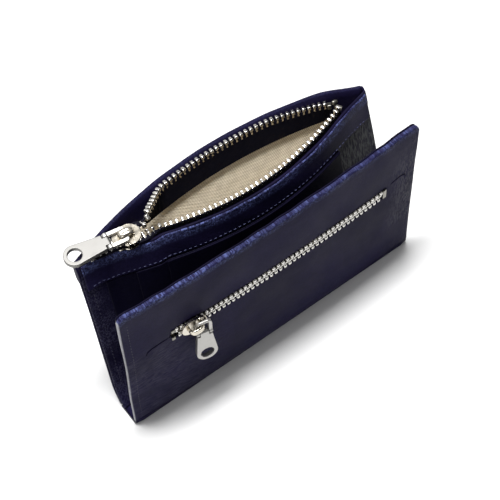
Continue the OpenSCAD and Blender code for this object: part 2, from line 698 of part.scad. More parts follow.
module pull_link() {
    side = link_w / 2 - link_in;
    color(nickel) difference() {
        intersection() {
            union() {
                rotate([90, 0, 0])
                    cylinder(h = 2 * link_in + 1, r = link_t / 2, center = true, $fn = 32);
                for (m = [-1, 1]) translate([0, m * (link_in + side / 2), 0])
                    rotate([90, 0, 0]) linear_extrude(side, center = true) {
                        circle(r = link_t / 2, $fn = 32);
                        translate([-link_len, -link_t / 2]) square([link_len, link_t]);
                        translate([-link_len, 0]) circle(r = ear_r, $fn = 32);
                    }
            }
            translate([0, 0, -ear_r - 1]) linear_extrude(2 * ear_r + 2) rotate([0, 0, -90])
                translate([0, -link_len - 2]) round_top(link_w / 2, link_len + 2 + link_t / 2, link_round);
        }
        translate([-link_len, 0, 0]) rotate([90, 0, 0])
            cylinder(h = link_w + 2, r = pin_r + pin_play, center = true, $fn = 32);
    }
}

// tab in the link's frame turned by hang degrees about the pin
shoulder = ear_r + 0.3;
eye_x = tab_len - tab_w1 / 2;

module tab_outline() {
    difference() {
        union() {
            translate([-shoulder - 0.5, -tongue_half]) square([shoulder + 0.5, 2 * tongue_half]);
            polygon([[-shoulder, tab_w0 / 2], [-shoulder, -tab_w0 / 2],
                     [-eye_x, -tab_w1 / 2], [-eye_x, tab_w1 / 2]]);
            translate([-eye_x, 0]) circle(r = tab_w1 / 2, $fn = 64);
        }
    }
}

module pull_tab() {
    color(nickel) difference() {
        union() {
            translate([0, 0, -tab_t / 2]) linear_extrude(tab_t) tab_outline();
            rotate([90, 0, 0]) cylinder(h = 2 * tongue_half, r = tab_t / 2, center = true, $fn = 32);
        }
        translate([-eye_x, 0, -tab_t]) cylinder(h = 2 * tab_t, r = eye_r, $fn = 64);
        rotate([90, 0, 0])
            cylinder(h = link_w + 2, r = pin_r + 0.02, center = true, $fn = 32);
    }
}

module pull_pin() {
    color(nickel) rotate([90, 0, 0])
        cylinder(h = link_w - 0.1, r = pin_r, center = true, $fn = 32);
}

bar_x = 0;

module on_top_slider() {
    translate(top_center) rotate([0, 0, top_slider_yaw]) children();
}

module on_top_link() {
    on_top_slider() translate([bar_x, 0, link_z]) children();
}

module on_top_pin() {
    on_top_link() translate([-link_len, 0, 0]) children();
}

// the front slider's x runs to the left along the chain, its z out of the leaf
module on_front_slider() {
    p = [front_slider_x, leaf_y(front_slider_x, zip_z) + chain_o, zip_z];
    t = unit([1, 2 * front_bow * front_slider_x / pow(half_w, 2), 0]);
    seat(p, -t, [0, -lean_k, -1]) children();
}

// the front link hangs round the bridge's right leg
module on_front_link() {
    on_front_slider()
        translate([-arch_half + bridge_t / 2, -link_t / 2 - bridge_w / 2 - 0.25, link_z + 0.5])
            rotate([0, 0, -90]) rotate([-front_twist, 0, 0]) children();
}

module on_front_pin() {
    on_front_link() translate([-link_len, 0, 0]) rotate([0, front_tab_hang, 0]) children();
}

// the model is drawn from the fold's front edge and stands on the middle of its spine
module from_base() {
    translate([0, -base_mid, 0]) children();
}

from_base() rear_cover();
from_base() spine_base();
from_base() pouch_front_panel();
from_base() pouch_top_band();
from_base() pouch_lining_rear();
from_base() pouch_lining_front();
from_base() card_panel(0);  // card_panel_1
from_base() card_panel(1);  // card_panel_2
from_base() card_panel(2);  // card_panel_3
from_base() corner_cap(-1);  // corner_cap_left
from_base() corner_cap(1);  // corner_cap_right
from_base() top_tape(1);  // top_zip_tape_rear
from_base() top_tape(-1);  // top_zip_tape_front
from_base() top_teeth(1);  // top_zip_teeth_rear
from_base() top_teeth(-1);  // top_zip_teeth_front
from_base() top_zip_bottom_stop();
from_base() top_zip_end_stops();
from_base() front_cover();
from_base() front_inner_panel();
from_base() passport_pocket();
from_base() front_pocket_lining();
from_base() front_tape(1);  // front_zip_tape_upper
from_base() front_tape(-1);  // front_zip_tape_lower
from_base() front_teeth(1);  // front_zip_teeth_upper
from_base() front_teeth(-1);  // front_zip_teeth_lower
from_base() front_zip_bottom_stop();
from_base() front_zip_end_stops();
from_base() on_top_slider() slider_body();  // top_slider_body
from_base() on_top_slider() slider_bridge();  // top_slider_bridge
from_base() on_top_link() pull_link();  // top_pull_link
from_base() on_top_pin() pull_tab();  // top_pull_tab
from_base() on_top_pin() pull_pin();  // top_pull_pin
from_base() on_front_slider() slider_body();  // front_slider_body
from_base() on_front_slider() slider_bridge();  // front_slider_bridge
from_base() on_front_link() pull_link();  // front_pull_link
from_base() on_front_pin() pull_tab();  // front_pull_tab
from_base() on_front_pin() pull_pin();  // front_pull_pin
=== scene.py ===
import json
import math

import bmesh
import bpy
import numpy as np
from mathutils import Matrix, Vector


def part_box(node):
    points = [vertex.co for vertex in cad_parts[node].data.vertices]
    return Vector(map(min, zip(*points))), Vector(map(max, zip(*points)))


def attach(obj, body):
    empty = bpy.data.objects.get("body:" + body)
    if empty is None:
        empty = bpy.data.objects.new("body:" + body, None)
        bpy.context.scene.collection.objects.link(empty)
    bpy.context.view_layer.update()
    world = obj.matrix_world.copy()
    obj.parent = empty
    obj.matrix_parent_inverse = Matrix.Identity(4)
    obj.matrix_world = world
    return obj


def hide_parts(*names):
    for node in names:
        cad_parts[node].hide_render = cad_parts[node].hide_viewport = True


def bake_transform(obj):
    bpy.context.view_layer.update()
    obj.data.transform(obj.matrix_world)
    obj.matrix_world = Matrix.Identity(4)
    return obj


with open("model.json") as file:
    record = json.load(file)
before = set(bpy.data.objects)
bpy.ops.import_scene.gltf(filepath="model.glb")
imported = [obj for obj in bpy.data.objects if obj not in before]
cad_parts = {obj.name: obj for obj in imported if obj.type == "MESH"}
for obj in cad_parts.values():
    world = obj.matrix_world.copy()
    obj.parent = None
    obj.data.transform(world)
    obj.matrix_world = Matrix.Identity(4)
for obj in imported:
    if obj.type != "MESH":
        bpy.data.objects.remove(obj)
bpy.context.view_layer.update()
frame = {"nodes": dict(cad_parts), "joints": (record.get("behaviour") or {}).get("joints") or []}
print("frame loaded:", len(frame["nodes"]), "nodes")

# Lengths in this script are in millimetres until makeMesh writes them in metres. Depths count
# from the front leaf's foot, and backShift carries them to the frame's own origin.
frontBox = np.array(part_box("front_cover")) * 1000
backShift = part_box("spine_base")[0][1] * 1000 - 0.1

leaf = {
    "length": frontBox[1][0] - frontBox[0][0], "height": frontBox[1][2], "foot": frontBox[0][2],
    "lean": math.radians(2), "bow": 2.6, "footRound": 14, "corner": 4.0,
    "thickness": 1.3, "hem": 1.0, "hemWidth": 7.6, "hemStep": 0.8, "leatherFoot": 0.6,
    "zipHeight": 62.0, "slitLeft": -56.0, "slitRight": 60.6, "slitHalf": 3.2, "slitClose": 4.5, "slitLeast": 0.05,
    "sliderX": -44.6, "sliderReach": 6.5, "sliderFade": 5.0, "sliderWiden": 0.9,
    "pocket": 1.45, "panel": 0.9,
}
pouch = {
    "height": 89.6, "foot": 1.7, "wall": 1.3, "bandHeight": 14.0,
    "seamFoot": 16.4, "seamLean": math.radians(13.5), "seamCurl": 3.2, "heelDraw": 5.5, "heel": 12.0, "seam": 3.9,
    "rearBow": (9.0, 16.0), "frontBow": (5.6, 17.6), "bellyX": 8.0, "bellyHalf": 70.0, "bellyPower": 1.2,
    "rearDrop": 2.6, "rightDrop": 2.6, "dropFrom": 0.76, "dropOver": 0.24, "frontRise": 2.4, "endDraw": 3.0,
    "sliderX": -51.4, "dip": 1.6, "dipShift": 1, "dipHalf": 9.5, "dipFade": 5.5,
}
halfLength = leaf["length"] / 2
# the air left between two layers
air = 0.05
sides = ((-1, "Left"), (1, "Right"))
joints = {joint["name"]: joint for joint in frame["joints"]}
scene = bpy.context.scene


# shapes of the two leaves, as in the frame
def ease(t):
    t = np.clip(t, 0, 1)
    return t * t * (3 - 2 * t)


def seamY(z):
    # straight lean plus a curl at the top, drawn in at the heel
    p = pouch
    return (p["seamFoot"] + z * math.tan(p["seamLean"]) + p["seamCurl"] * (z / p["height"]) ** 2
            - p["heelDraw"] * np.clip(1 - z / p["heel"], 0, 1) ** 2)


def wallX(u, z):
    return u * (halfLength - pouch["endDraw"] * z / pouch["height"])


def belly(x):
    return np.clip(1 - ((x - pouch["bellyX"]) / pouch["bellyHalf"]) ** 2, 0, 1) ** pouch["bellyPower"]


def rearY(u, z):
    a, b = pouch["rearBow"]
    return seamY(z) + (a + (b - a) * z / pouch["height"]) * (1 - u * u)


def frontY(u, z):
    a, b = pouch["frontBow"]
    return seamY(z) - pouch["seam"] - (a + (b - a) * z / pouch["height"]) * belly(wallX(u, z))


def sag(u):
    # the right top corner sinks
    return pouch["rightDrop"] * ease((u - pouch["dropFrom"]) / pouch["dropOver"])


def rearTop(u):
    return pouch["height"] - pouch["rearDrop"] * (1 - u * u) - sag(u)


def frontTop(u):
    # the edge rises with the belly and dips under the slider
    x = wallX(u, pouch["height"])
    away = abs(x - pouch["sliderX"] + pouch["dipShift"])
    dip = pouch["dip"] * (1 - ease((away - pouch["dipHalf"]) / pouch["dipFade"]))
    return pouch["height"] + pouch["frontRise"] * belly(x) - dip - sag(u)


def leafY(x, z):
    foot = leaf["footRound"]
    rise = np.where(z >= foot, 1, np.sin(np.pi / 2 * np.clip(z, 0, foot) / foot))
    return z * math.tan(leaf["lean"]) - leaf["bow"] * (1 - (x / halfLength) ** 2) * rise


def leafTop(x):
    d = np.clip(halfLength - np.abs(x), 0, leaf["corner"])
    r = leaf["corner"]
    return leaf["height"] - (r - np.sqrt(np.clip(r * r - (r - d) ** 2, 0, None)))


# meshes
def unit(v):
    return v / np.linalg.norm(v, axis=-1, keepdims=True)


def stackPoints(x, y, z):
    return np.stack([x, y, z], axis=-1)


def addObject(name, data):
    thing = bpy.data.objects.new(name, data)
    scene.collection.objects.link(thing)
    return thing


def meshCorners(mesh):
    corners = np.empty(len(mesh.loops), dtype=np.int32)
    mesh.loops.foreach_get("vertex_index", corners)
    return corners


def makeMesh(name, points, faces, uv=None, fromTop=None):
    mesh = bpy.data.meshes.new(name)
    points = (np.asarray(points) + [0, backShift, 0]) / 1000
    mesh.from_pydata(points.tolist(), [], [tuple(f) for f in faces])
    if uv is not None:
        layer = mesh.uv_layers.new(name="mm")
        layer.data.foreach_set("uv", uv.astype(np.float32)[meshCorners(mesh)].ravel())
        edge = mesh.attributes.new("topEdge", "FLOAT", "POINT")
        edge.data.foreach_set("value", fromTop.astype(np.float32))
    mesh.validate()
    mesh.shade_smooth()
    return addObject(name, mesh)


def dress(piece, material, body, stands):
    piece.data.materials.clear()
    piece.data.materials.append(material)
    if body:
        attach(piece, body)
    if stands:
        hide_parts(stands)


def makeTubes(name, points, rings, corners, material, body, stands="", copies=1):
    # closed tubes of rings of corners: quads between neighbouring rings and a cap at each end
    k, i = np.meshgrid(np.arange(rings - 1), np.arange(corners), indexing="ij")
    j = (i + 1) % corners
    quads = np.stack([k * corners + i, k * corners + j, (k + 1) * corners + j, (k + 1) * corners + i], -1)
    faces = []
    for base in range(0, copies * rings * corners, rings * corners):
        last = base + (rings - 1) * corners
        faces += (quads.reshape(-1, 4) + base).tolist()
        faces += [list(range(base + corners - 1, base - 1, -1)), list(range(last, last + corners))]
    piece = makeMesh(name, points, faces)
    bm = bmesh.new()
    bm.from_mesh(piece.data)
    bmesh.ops.recalc_face_normals(bm, faces=bm.faces)
    bm.to_mesh(piece.data)
    bm.free()
    dress(piece, material, body, stands)


def edgeSteps(lo, hi, step, rim=1.0, extra=()):
    # even steps from lo to hi, with close lines near both ends and beside each extra place
    n = max(2, int(round((hi - lo) / step)))
    lines = list(np.linspace(lo, hi, n + 1))
    close = np.array([0, 0.08, 0.22, 0.45, 0.75, 1.1]) * rim
    for e in (lo, hi) + tuple(extra):
        lines += [v for v in np.concatenate([e - close, e + close]) if lo <= v <= hi]
    lines = np.unique(np.round(lines, 4))
    keep = [lines[0]]
    for v in lines[1:]:
        if v - keep[-1] > 0.05:
            keep.append(v)
    return np.array(keep)


def runLength(points, axis):
    # distance along the points from the first
    steps = np.diff(points, axis=axis, prepend=points.take([0], axis))
    return np.cumsum(np.linalg.norm(steps, axis=-1), axis=axis)


def rowShares(length, step=2.0, rim=1.0, close=(0.1, 0.25, 0.5, 0.8)):
    # shares of a length: even steps, with close lines near both ends
    near = np.array(close) / length
    return np.unique(np.concatenate([edgeSteps(0, 1, step / length, rim / length), near, 1 - near]))


def skin(name, middle, us, vs, thickness, material, body, stands="", rim=None, hole=None, bulge=None):
    # closed sheet: both faces lie half the thickness from the middle surface and meet in a half-round
    # at the rim: half times the root of 1 - (1 - d/r) squared, d from the rim and r the rim's reach
    u, v = np.meshgrid(us, vs, indexing="ij")
    mid = middle(u, v)
    normal = unit(np.cross(np.gradient(mid, axis=0), np.gradient(mid, axis=1)))
    alongU, alongV = runLength(mid, 0), runLength(mid, 1)
    fromTop = alongV[:, -1:] - alongV
    d = np.minimum(np.minimum(alongU, alongU[-1:] - alongU), np.minimum(alongV, fromTop))
    inHole = np.zeros(u.shape, bool)
    if hole:
        holeDistance, inHole = hole(u, v)
        d = np.minimum(d, np.maximum(holeDistance, 0))
    half = thickness(u, v) / 2 if callable(thickness) else np.full(u.shape, thickness / 2)
    r = rim or float(np.max(half))
    h = half * np.sqrt(np.clip(1 - (1 - np.clip(d / r, 0, 1)) ** 2, 0, 1))
    lift = bulge(u, v) if bulge else 0
    front = mid + normal * (h + lift)[..., None]
    back = mid - normal * (h - lift)[..., None]
    ids = np.arange(u.size).reshape(u.shape)
    backIds = np.where(d <= 1e-6, ids, ids + u.size)
    i, j = np.nonzero(~(inHole[:-1, :-1] & inHole[1:, :-1] & inHole[:-1, 1:] & inHole[1:, 1:]))
    outer, inner = (np.stack([k[i, j], k[i + 1, j], k[i + 1, j + 1], k[i, j + 1]], 1) for k in (ids, backIds))
    faces = np.concatenate([outer, inner[:, [0, 3, 2, 1]]])
    points = np.concatenate([front.reshape(-1, 3), back.reshape(-1, 3)])
    uv = np.tile(np.stack([alongU, alongV], 2).reshape(-1, 2), (2, 1))
    used = np.zeros(len(points), bool)
    used[faces.ravel()] = True
    renumber = np.cumsum(used) - 1
    piece = makeMesh(name, points[used], renumber[faces], uv[used], np.tile(fromTop.ravel(), 2)[used])
    dress(piece, material, body, stands)
    return piece


# shaders
def setInputs(node, inputs):
    for key, value in inputs.items():
        if isinstance(value, bpy.types.NodeSocket):
            node.id_data.links.new(value, node.inputs[key])
        else:
            node.inputs[key].default_value = value


def addNode(kind, out, inputs, beside=None, **settings):
    # one output of a new node, in the tree of its first linked input or of the thing it stands beside
    if beside is None:
        beside = next(value for value in inputs.values() if isinstance(value, bpy.types.NodeSocket))
    node = beside.id_data.nodes.new("ShaderNode" + kind)
    for key, value in settings.items():
        setattr(node, key, value)
    setInputs(node, inputs)
    return node.outputs[out]


def mathNode(operation, a, b=0.5, clamp=False):
    return addNode("Math", 0, {0: a, 1: b}, operation=operation, use_clamp=clamp)


def times(a, b, clamp=False):
    return mathNode("MULTIPLY", a, b, clamp)


def plus(a, b, clamp=False):
    return mathNode("ADD", a, b, clamp)


def fallOff(distance, width):
    # 1 at no distance, 0 at the width and beyond
    return mathNode("SUBTRACT", 1.0, mathNode("DIVIDE", distance, width), True)


def rangeNode(value, fromMin, fromMax, toMin=0.0, toMax=1.0):
    ends = {"From Min": fromMin, "From Max": fromMax, "To Min": toMin, "To Max": toMax}
    return addNode("MapRange", "Result", {"Value": value, **ends}, interpolation_type="SMOOTHSTEP")


def mixColour(factor, a, b):
    # a and b are sockets or colours of three numbers
    a, b = (c + (1,) if isinstance(c, tuple) else c for c in (a, b))
    return addNode("Mix", 2, {0: factor, 6: a, 7: b}, data_type="RGBA")


def noiseNode(vector, scale, detail=3.0, roughness=0.5):
    return addNode("TexNoise", "Fac", {"Vector": vector, "Scale": scale, "Detail": detail, "Roughness": roughness})


def bumpNode(height, strength, distance):
    return addNode("Bump", "Normal", {"Strength": strength, "Distance": distance, "Height": height})


def millimetreMap(place):
    return addNode("UVMap", "UV", {}, place, uv_map="mm")


def newGroup(name, inputs, outputs):
    group = bpy.data.node_groups.new(name, "ShaderNodeTree")
    for label, value in inputs.items():
        kind = "NodeSocketFloat" if isinstance(value, float) else "NodeSocketVector"
        group.interface.new_socket(label, in_out="INPUT", socket_type=kind).default_value = value
    for label in outputs:
        group.interface.new_socket(label, in_out="OUTPUT", socket_type="NodeSocketFloat")
    return group, group.nodes.new("NodeGroupInput").outputs, group.nodes.new("NodeGroupOutput")


def buildGrain():
    # pebbled leather grain: rounded cells of two sizes over a fine noise; Cell is cells to the metre
    group, given, result = newGroup("leatherGrain", {"Vector": (0.0, 0.0, 0.0), "Cell": 1000.0, "Fine": 0.35},
                                    ("Height", "Pits"))
    big, small = (addNode("TexVoronoi", "Distance",
                          {"Vector": given["Vector"], "Scale": times(given["Cell"], finer), "Smoothness": 0.45},
                          feature="SMOOTH_F1") for finer in (1.0, 2.3))
    fine = addNode("TexNoise", "Fac", {"Vector": given["Vector"], "Scale": times(given["Cell"], 5.0)})
    height = plus(times(big, -1.0), times(small, -0.5))
    height = plus(height, times(fine, given["Fine"]))
    setInputs(result, {"Height": height, "Pits": rangeNode(big, 0.35, 0.75)})
    return group


def buildCrackle():
    # crumpled leather: the borders of drawn-out cells that wander, broken up by noise
    group, given, result = newGroup("crackle", {"Vector": (0.0, 0.0, 0.0), "Size": (1.0, 1.0, 1.0), "Line": 0.14,
                                                "Wander": 0.5}, ("Mask",))
    place = addNode("VectorMath", "Vector", {0: given["Vector"], 1: given["Size"]}, operation="DIVIDE")
    drift = addNode("TexNoise", "Color", {"Vector": place, "Scale": 0.9, "Detail": 3.0})
    push = addNode("VectorMath", "Vector", {0: drift, "Scale": given["Wander"]}, operation="SCALE")
    moved = addNode("VectorMath", "Vector", {0: place, 1: push}, operation="ADD")
    border = addNode("TexVoronoi", "Distance", {"Vector": moved, "Scale": 1.0}, feature="DISTANCE_TO_EDGE")
    broken = rangeNode(noiseNode(place, 1.7, 2.0), 0.38, 0.56)
    setInputs(result, {"Mask": times(fallOff(border, given["Line"]), broken)})
    return group


grainGroup = buildGrain()
crackleGroup = buildCrackle()


def crackleNode(vector, size, line, wander):
    return addNode("Group", "Mask", {"Vector": vector, "Size": size, "Line": line, "Wander": wander},
                   node_tree=crackleGroup)


def newMaterial(name):
    # the material, its shader and the place on the piece in metres
    mat = bpy.data.materials.new(name)
    mat.use_nodes = True
    shader = mat.node_tree.nodes["Principled BSDF"]
    return mat, shader, addNode("TexCoord", "Object", {}, shader)


def shade(colour, share):
    return tuple(min(1, c * share) for c in colour)


# colours, and fields of wrinkles whose lines are bumped and painted lighter as a highlight: where a field fades in and
# how high it reaches, the size of its cells, all in mm, the width of its lines as a share of a cell, and how strongly
# they show
finish = {
    "navy": (0.0096, 0.0078, 0.03),
    # the crease colour: a painted light blue highlight for the crumpled top edges
    "creaseHighlightColour": (0.076, 0.093, 0.23),
    "leftWrinklesAndHighlight": {"from": -20, "to": -62, "top": 68, "size": (5.2, 40.0, 1.15), "line": 0.3, "tone": 0.45,
        "depth": 1.2, "colour": (0.068, 0.064, 0.098)},
    "rightWrinklesAndHighlight": {"from": 30, "to": 50, "top": 90, "size": (1.4, 40.0, 5.5), "line": 0.42, "tone": 0.8,
        "depth": 2.0, "colour": (0.074, 0.078, 0.078)},
    "endWrinklesAndHighlight": {"from": 58, "to": 76, "top": 100, "size": (1.3, 40.0, 4.5), "line": 0.4, "tone": 0.65,
        "depth": 0.9, "colour": (0.078, 0.076, 0.094)},
    # the pouch's left margin: its wrinkles painted lighter, a painted highlight where light falls on that end
    "marginWrinklesAndHighlight": {"from": -62, "to": -70, "top": 92, "size": (1.2, 40.0, 1.5), "line": 0.25, "tone": 0.5,
        "depth": 0.9, "colour": (0.06, 0.058, 0.1)},
    # near-black paint for the shade inside the slit's cut
    "cut": (0.0012, 0.0012, 0.002),
    # pale greys for the left end's edge: the cut hide's own colour and a painted highlight
    "rawEdgeAndHighlightColours": ((0.17, 0.17, 0.185), (0.36, 0.36, 0.38)),
    "lining": ((1.0, 0.92, 0.76), (0.46, 0.385, 0.27)),
    "tape": ((0.007, 0.0066, 0.013), (0.0035, 0.0034, 0.007)),
    "nickel": (0.76, 0.74, 0.7),
    "dullNickel": (0.26, 0.25, 0.22),
    "pull": (0.47, 0.46, 0.44),
    "crown": (0.66, 0.61, 0.52),
    "thread": (0.055, 0.062, 0.15),
    "darkThread": (0.018, 0.018, 0.045),
}
# the crumpled stripe, painted in the crease colour as a highlight: its cells in mm, lines and wander; how the painted
# highlight fades from left to right, in metres
crumple = {"coarse": ((1.75, 2.05, 1.0), 0.16, 2.4), "fine": ((0.95, 1.1, 1.0), 0.17, 1.6), "fineShare": 0.45,
           "highlightBloom": 0.15, "depth": 1.4, "fade": (-0.055, 0.045, 1.0, 0.62)}


def leather(name, colour, roughness, grain, creaseWidth=1.0, creaseHighlight=0.0, rawEdgeAndHighlight=0.0, wrinklesAndHighlights=(), sheen=0.036):
    mat, shader, place = newMaterial(name)
    pebbles = addNode("Group", "Height", {"Vector": place}, node_tree=grainGroup)
    blotch = noiseNode(place, 28.0, 4.0, 0.55)
    base = mixColour(rangeNode(blotch, 0.3, 0.7), shade(colour, 0.75), shade(colour, 1.25))
    base = mixColour(times(pebbles.node.outputs["Pits"], 0.35), base, shade(colour, 0.45))
    height = times(pebbles, grain)
    x = addNode("SeparateXYZ", "X", {"Vector": place})
    for w in wrinklesAndHighlights:
        # a field of fine wrinkles, bumped and painted lighter along their lines as a highlight, that fades out from
        # one end of the piece
        field = rangeNode(x, w["from"] / 1000, w["to"] / 1000)
        upper = rangeNode(x.node.outputs["Z"], w["top"] / 1000, (w["top"] - 12) / 1000)
        patches = rangeNode(noiseNode(place, 55.0, 2.0), 0.3, 0.55)
        lines = crackleNode(place, tuple(v / 1000 for v in w["size"]), w["line"], 0.8)
        lines = times(times(times(field, upper), patches), lines)
        base = mixColour(times(lines, w["tone"]), base, w["colour"])
        height = plus(height, times(lines, w["depth"]))
    if creaseHighlight:
        # crumpled stripe along the turned top edge: its bumped lines painted light blue as a highlight, over a painted
        # dull blue glow
        near = fallOff(addNode("Attribute", "Fac", {}, place, attribute_name="topEdge"), creaseWidth)
        uneven = noiseNode(millimetreMap(place), 0.11, 2.0)
        near = times(rangeNode(near, 0.0, 0.55), rangeNode(uneven, 0.3, 0.55, 0.35, 1.0))
        near = times(near, rangeNode(x, *crumple["fade"]))
        coarse, fine = (crackleNode(millimetreMap(place), *crumple[size]) for size in ("coarse", "fine"))
        lines = mathNode("MAXIMUM", coarse, times(fine, crumple["fineShare"]))
        base = mixColour(times(near, crumple["highlightBloom"] * creaseHighlight), base, shade(finish["creaseHighlightColour"], 0.25))
        lines = times(near, lines)
        base = mixColour(times(lines, creaseHighlight, True), base, finish["creaseHighlightColour"])
        height = plus(height, times(lines, crumple["depth"]))
    if rawEdgeAndHighlight:
        # the edge at the left end, painted pale grey: the cut hide's own colour and a painted highlight
        rawAndHighlight = rangeNode(x, -halfLength / 1000 + 0.0001, -halfLength / 1000 + 0.0005, rawEdgeAndHighlight, 0.0)
        base = mixColour(rawAndHighlight, base, mixColour(noiseNode(place, 420.0, 3.0), *finish["rawEdgeAndHighlightColours"]))
    rough = rangeNode(noiseNode(place, 60.0, 2.0), 0.2, 0.8, roughness - 0.06, roughness + 0.08)
    setInputs(shader, {"Base Color": base, "Roughness": rough, "Specular IOR Level": sheen,
                       "Normal": bumpNode(height, 0.6, 0.00022)})
    return mat


def cloth(name, slotName, light, dark, rib=0.85, strength=0.7, ownMap=True):
    # diagonal twill: slanted ribs crossed by finer threads, on the piece's own millimetre map or,
    # without one, on its upright face
    mat, shader, place = newMaterial(name)
    turned = {"Vector": millimetreMap(place), "Rotation": (0, 0, 0.7)} if ownMap else \
        {"Vector": place, "Rotation": (math.pi / 2, 0, 0), "Scale": (1000, 1000, 1000)}
    turned = addNode("Mapping", "Vector", turned)
    x = addNode("SeparateXYZ", "X", {"Vector": turned})
    ribs = mathNode("SINE", times(x, 2 * math.pi / rib))
    threads = mathNode("SINE", times(x.node.outputs["Y"], 2 * math.pi / (rib * 0.8)))
    weave = plus(times(ribs, 0.6), times(threads, 0.4))
    slub = mathNode("SUBTRACT", noiseNode(turned, 0.25, 4.0, 0.6), 0.5)
    tone = plus(rangeNode(weave, -0.9, 0.9), times(slub, 0.9), True)
    setInputs(shader, {"Base Color": mixColour(tone, dark, light), "Roughness": 0.85, "Specular IOR Level": 0.06,
                       "Normal": bumpNode(weave, strength, 0.00015)})
    return mat


def nickel(name, colour, roughness):
    mat, shader, place = newMaterial(name)
    haze = noiseNode(place, 320.0, 4.0, 0.6)
    tone = mixColour(rangeNode(haze, 0.3, 0.7), shade(colour, 0.88), colour)
    rough = rangeNode(haze, 0.25, 0.8, roughness - 0.05, roughness + 0.12)
    fine = noiseNode(place, 2600.0, 2.0, 0.5)
    setInputs(shader, {"Base Color": tone, "Metallic": 1.0, "Roughness": rough,
                       "Normal": bumpNode(fine, 0.12, 0.00003)})
    return mat


def thread(name, colour):
    mat, shader, place = newMaterial(name)
    twist = addNode("TexWave", "Fac", {"Vector": place, "Scale": 900.0, "Distortion": 1.0})
    base = mixColour(twist, shade(colour, 0.6), colour)
    setInputs(shader, {"Base Color": base, "Roughness": 0.6})
    return mat


navy = finish["navy"]
coverLeather = leather("coverLeather", navy, 0.5, 0.3, 4.6, 1.0, rawEdgeAndHighlight=1.0,
                       wrinklesAndHighlights=(finish["leftWrinklesAndHighlight"], finish["endWrinklesAndHighlight"]))
pouchLeather = leather("pouchLeather", navy, 0.48, 0.45, 6.0, 1.5)
bodyLeather = leather("bodyLeather", shade(navy, 0.6), 0.5, 0.45, wrinklesAndHighlights=(finish["rightWrinklesAndHighlight"], finish["marginWrinklesAndHighlight"]))
rearLeather = leather("rearLeather", shade(navy, 0.8), 0.5, 0.35, 1.5, 0.12, rawEdgeAndHighlight=0.4)
# near-black: the painted shade inside the slit's cut
cutShadeBlack = leather("cutShadeBlack", finish["cut"], 0.7, 0.2, sheen=0.01)
# a lighter navy: a painted highlight on the cut's raised lip
lipHighlightLeather = leather("lipHighlightLeather", shade(navy, 1.5), 0.5, 0.3)
innerLeather = leather("innerLeather", shade(navy, 0.35), 0.55, 0.3)
capLeather = leather("capLeather", shade(navy, 0.8), 0.45, 0.4)
spineMaterial = leather("spineMaterial", navy, 0.5, 0.35, rawEdgeAndHighlight=0.8)
liningCloth = cloth("liningCloth", "lining_canvas", *finish["lining"])
tapeCloth = cloth("tapeCloth", "zip_tape", *finish["tape"], rib=0.6, strength=0.4, ownMap=False)
chainNickel = nickel("chainNickel", finish["nickel"], 0.2)
dullNickel = nickel("dullNickel", finish["dullNickel"], 0.34)
pullNickel = nickel("pullNickel", finish["pull"], 0.46)
# the top pull lies face up under the top light; its nickel is painted darker than the front pull's, painted shade that
# holds back the light's reflection
shadedTopPullNickel = nickel("shadedTopPullNickel", shade(finish["pull"], 0.48), 0.5)
crownNickel = nickel("crownNickel", finish["crown"], 0.18)
blueThread = thread("blueThread", finish["thread"])
darkThread = thread("darkThread", finish["darkThread"])
print("materials ready")


# front leaf
# the free leather: swells that fade near the top and a ripple along the top edge, as heights and
# lengths, and the bows of the left edge as height, place and reach
wave = {"slow": (0.11, 11.0, 17.0), "fine": (0.05, 4.3, 9.0), "fade": 10, "ripple": (0.16, 2.6, 9.0),
        "rippleDepth": 6, "bows": ((-0.9, 57, 16), (0.45, 24, 9)), "bowFrom": 50, "bowOver": 27}


def slitHalf(x):
    # half the slit's width: a little wider round the slider, closing to a line at its left end
    widen = ease((leaf["sliderX"] + leaf["sliderReach"] - x) / leaf["sliderFade"])
    closing = ease((x - leaf["slitLeft"]) / leaf["slitClose"])
    return np.maximum((leaf["slitHalf"] + leaf["sliderWiden"] * widen) * np.sqrt(closing), leaf["slitLeast"])


def leafRows():
    # shares: 0 at the foot, 1 at the slit's lower edge, 2 at its upper edge, 3 at the top
    below = 1 - np.concatenate([[0, 0.0015, 0.004, 0.008, 0.014, 0.022, 0.034], np.linspace(0.05, 0.985, 34),
                                [0.992, 0.997, 1.0]])
    above = 2 + np.concatenate([[0, 0.0025, 0.0065, 0.013, 0.022, 0.036, 0.055], np.linspace(0.08, 0.95, 26),
                                [0.962, 0.975, 0.985, 0.993, 0.998, 1.0]])
    return np.unique(np.round(np.concatenate([below, [1.5], above]), 5))


def leafWave(x, z):
    slow, slowX, slowZ = wave["slow"]
    fine, fineX, fineZ = wave["fine"]
    ripple, rippleX, drift = wave["ripple"]
    depth = wave["rippleDepth"]
    swell = slow * np.sin(x / slowX + 0.6) * np.sin(z / slowZ) + fine * np.sin(x / fineX + z / fineZ)
    swell = swell * ease((leaf["height"] - z) / wave["fade"])
    ripple = ripple * np.sin(x / rippleX + 1.4 * np.sin(x / drift)) * ease((z - leaf["height"] + depth) / depth)
    bend = sum(height * np.exp(-((z - at) / reach) ** 2) for height, at, reach in wave["bows"])
    return swell + ripple + bend * ease((-x - wave["bowFrom"]) / wave["bowOver"])


def leafPoint(x, share):
    h = slitHalf(x)
    lower = leaf["zipHeight"] - h
    upper = leaf["zipHeight"] + h
    foot = leaf["foot"] + leaf["leatherFoot"]
    z = np.where(share <= 1, foot + (lower - foot) * share,
                 np.where(share <= 2, lower + (upper - lower) * (share - 1),
                          upper + (leafTop(x) - upper) * (share - 2)))
    return stackPoints(x, leafY(x, z) + leafWave(x, z), z)


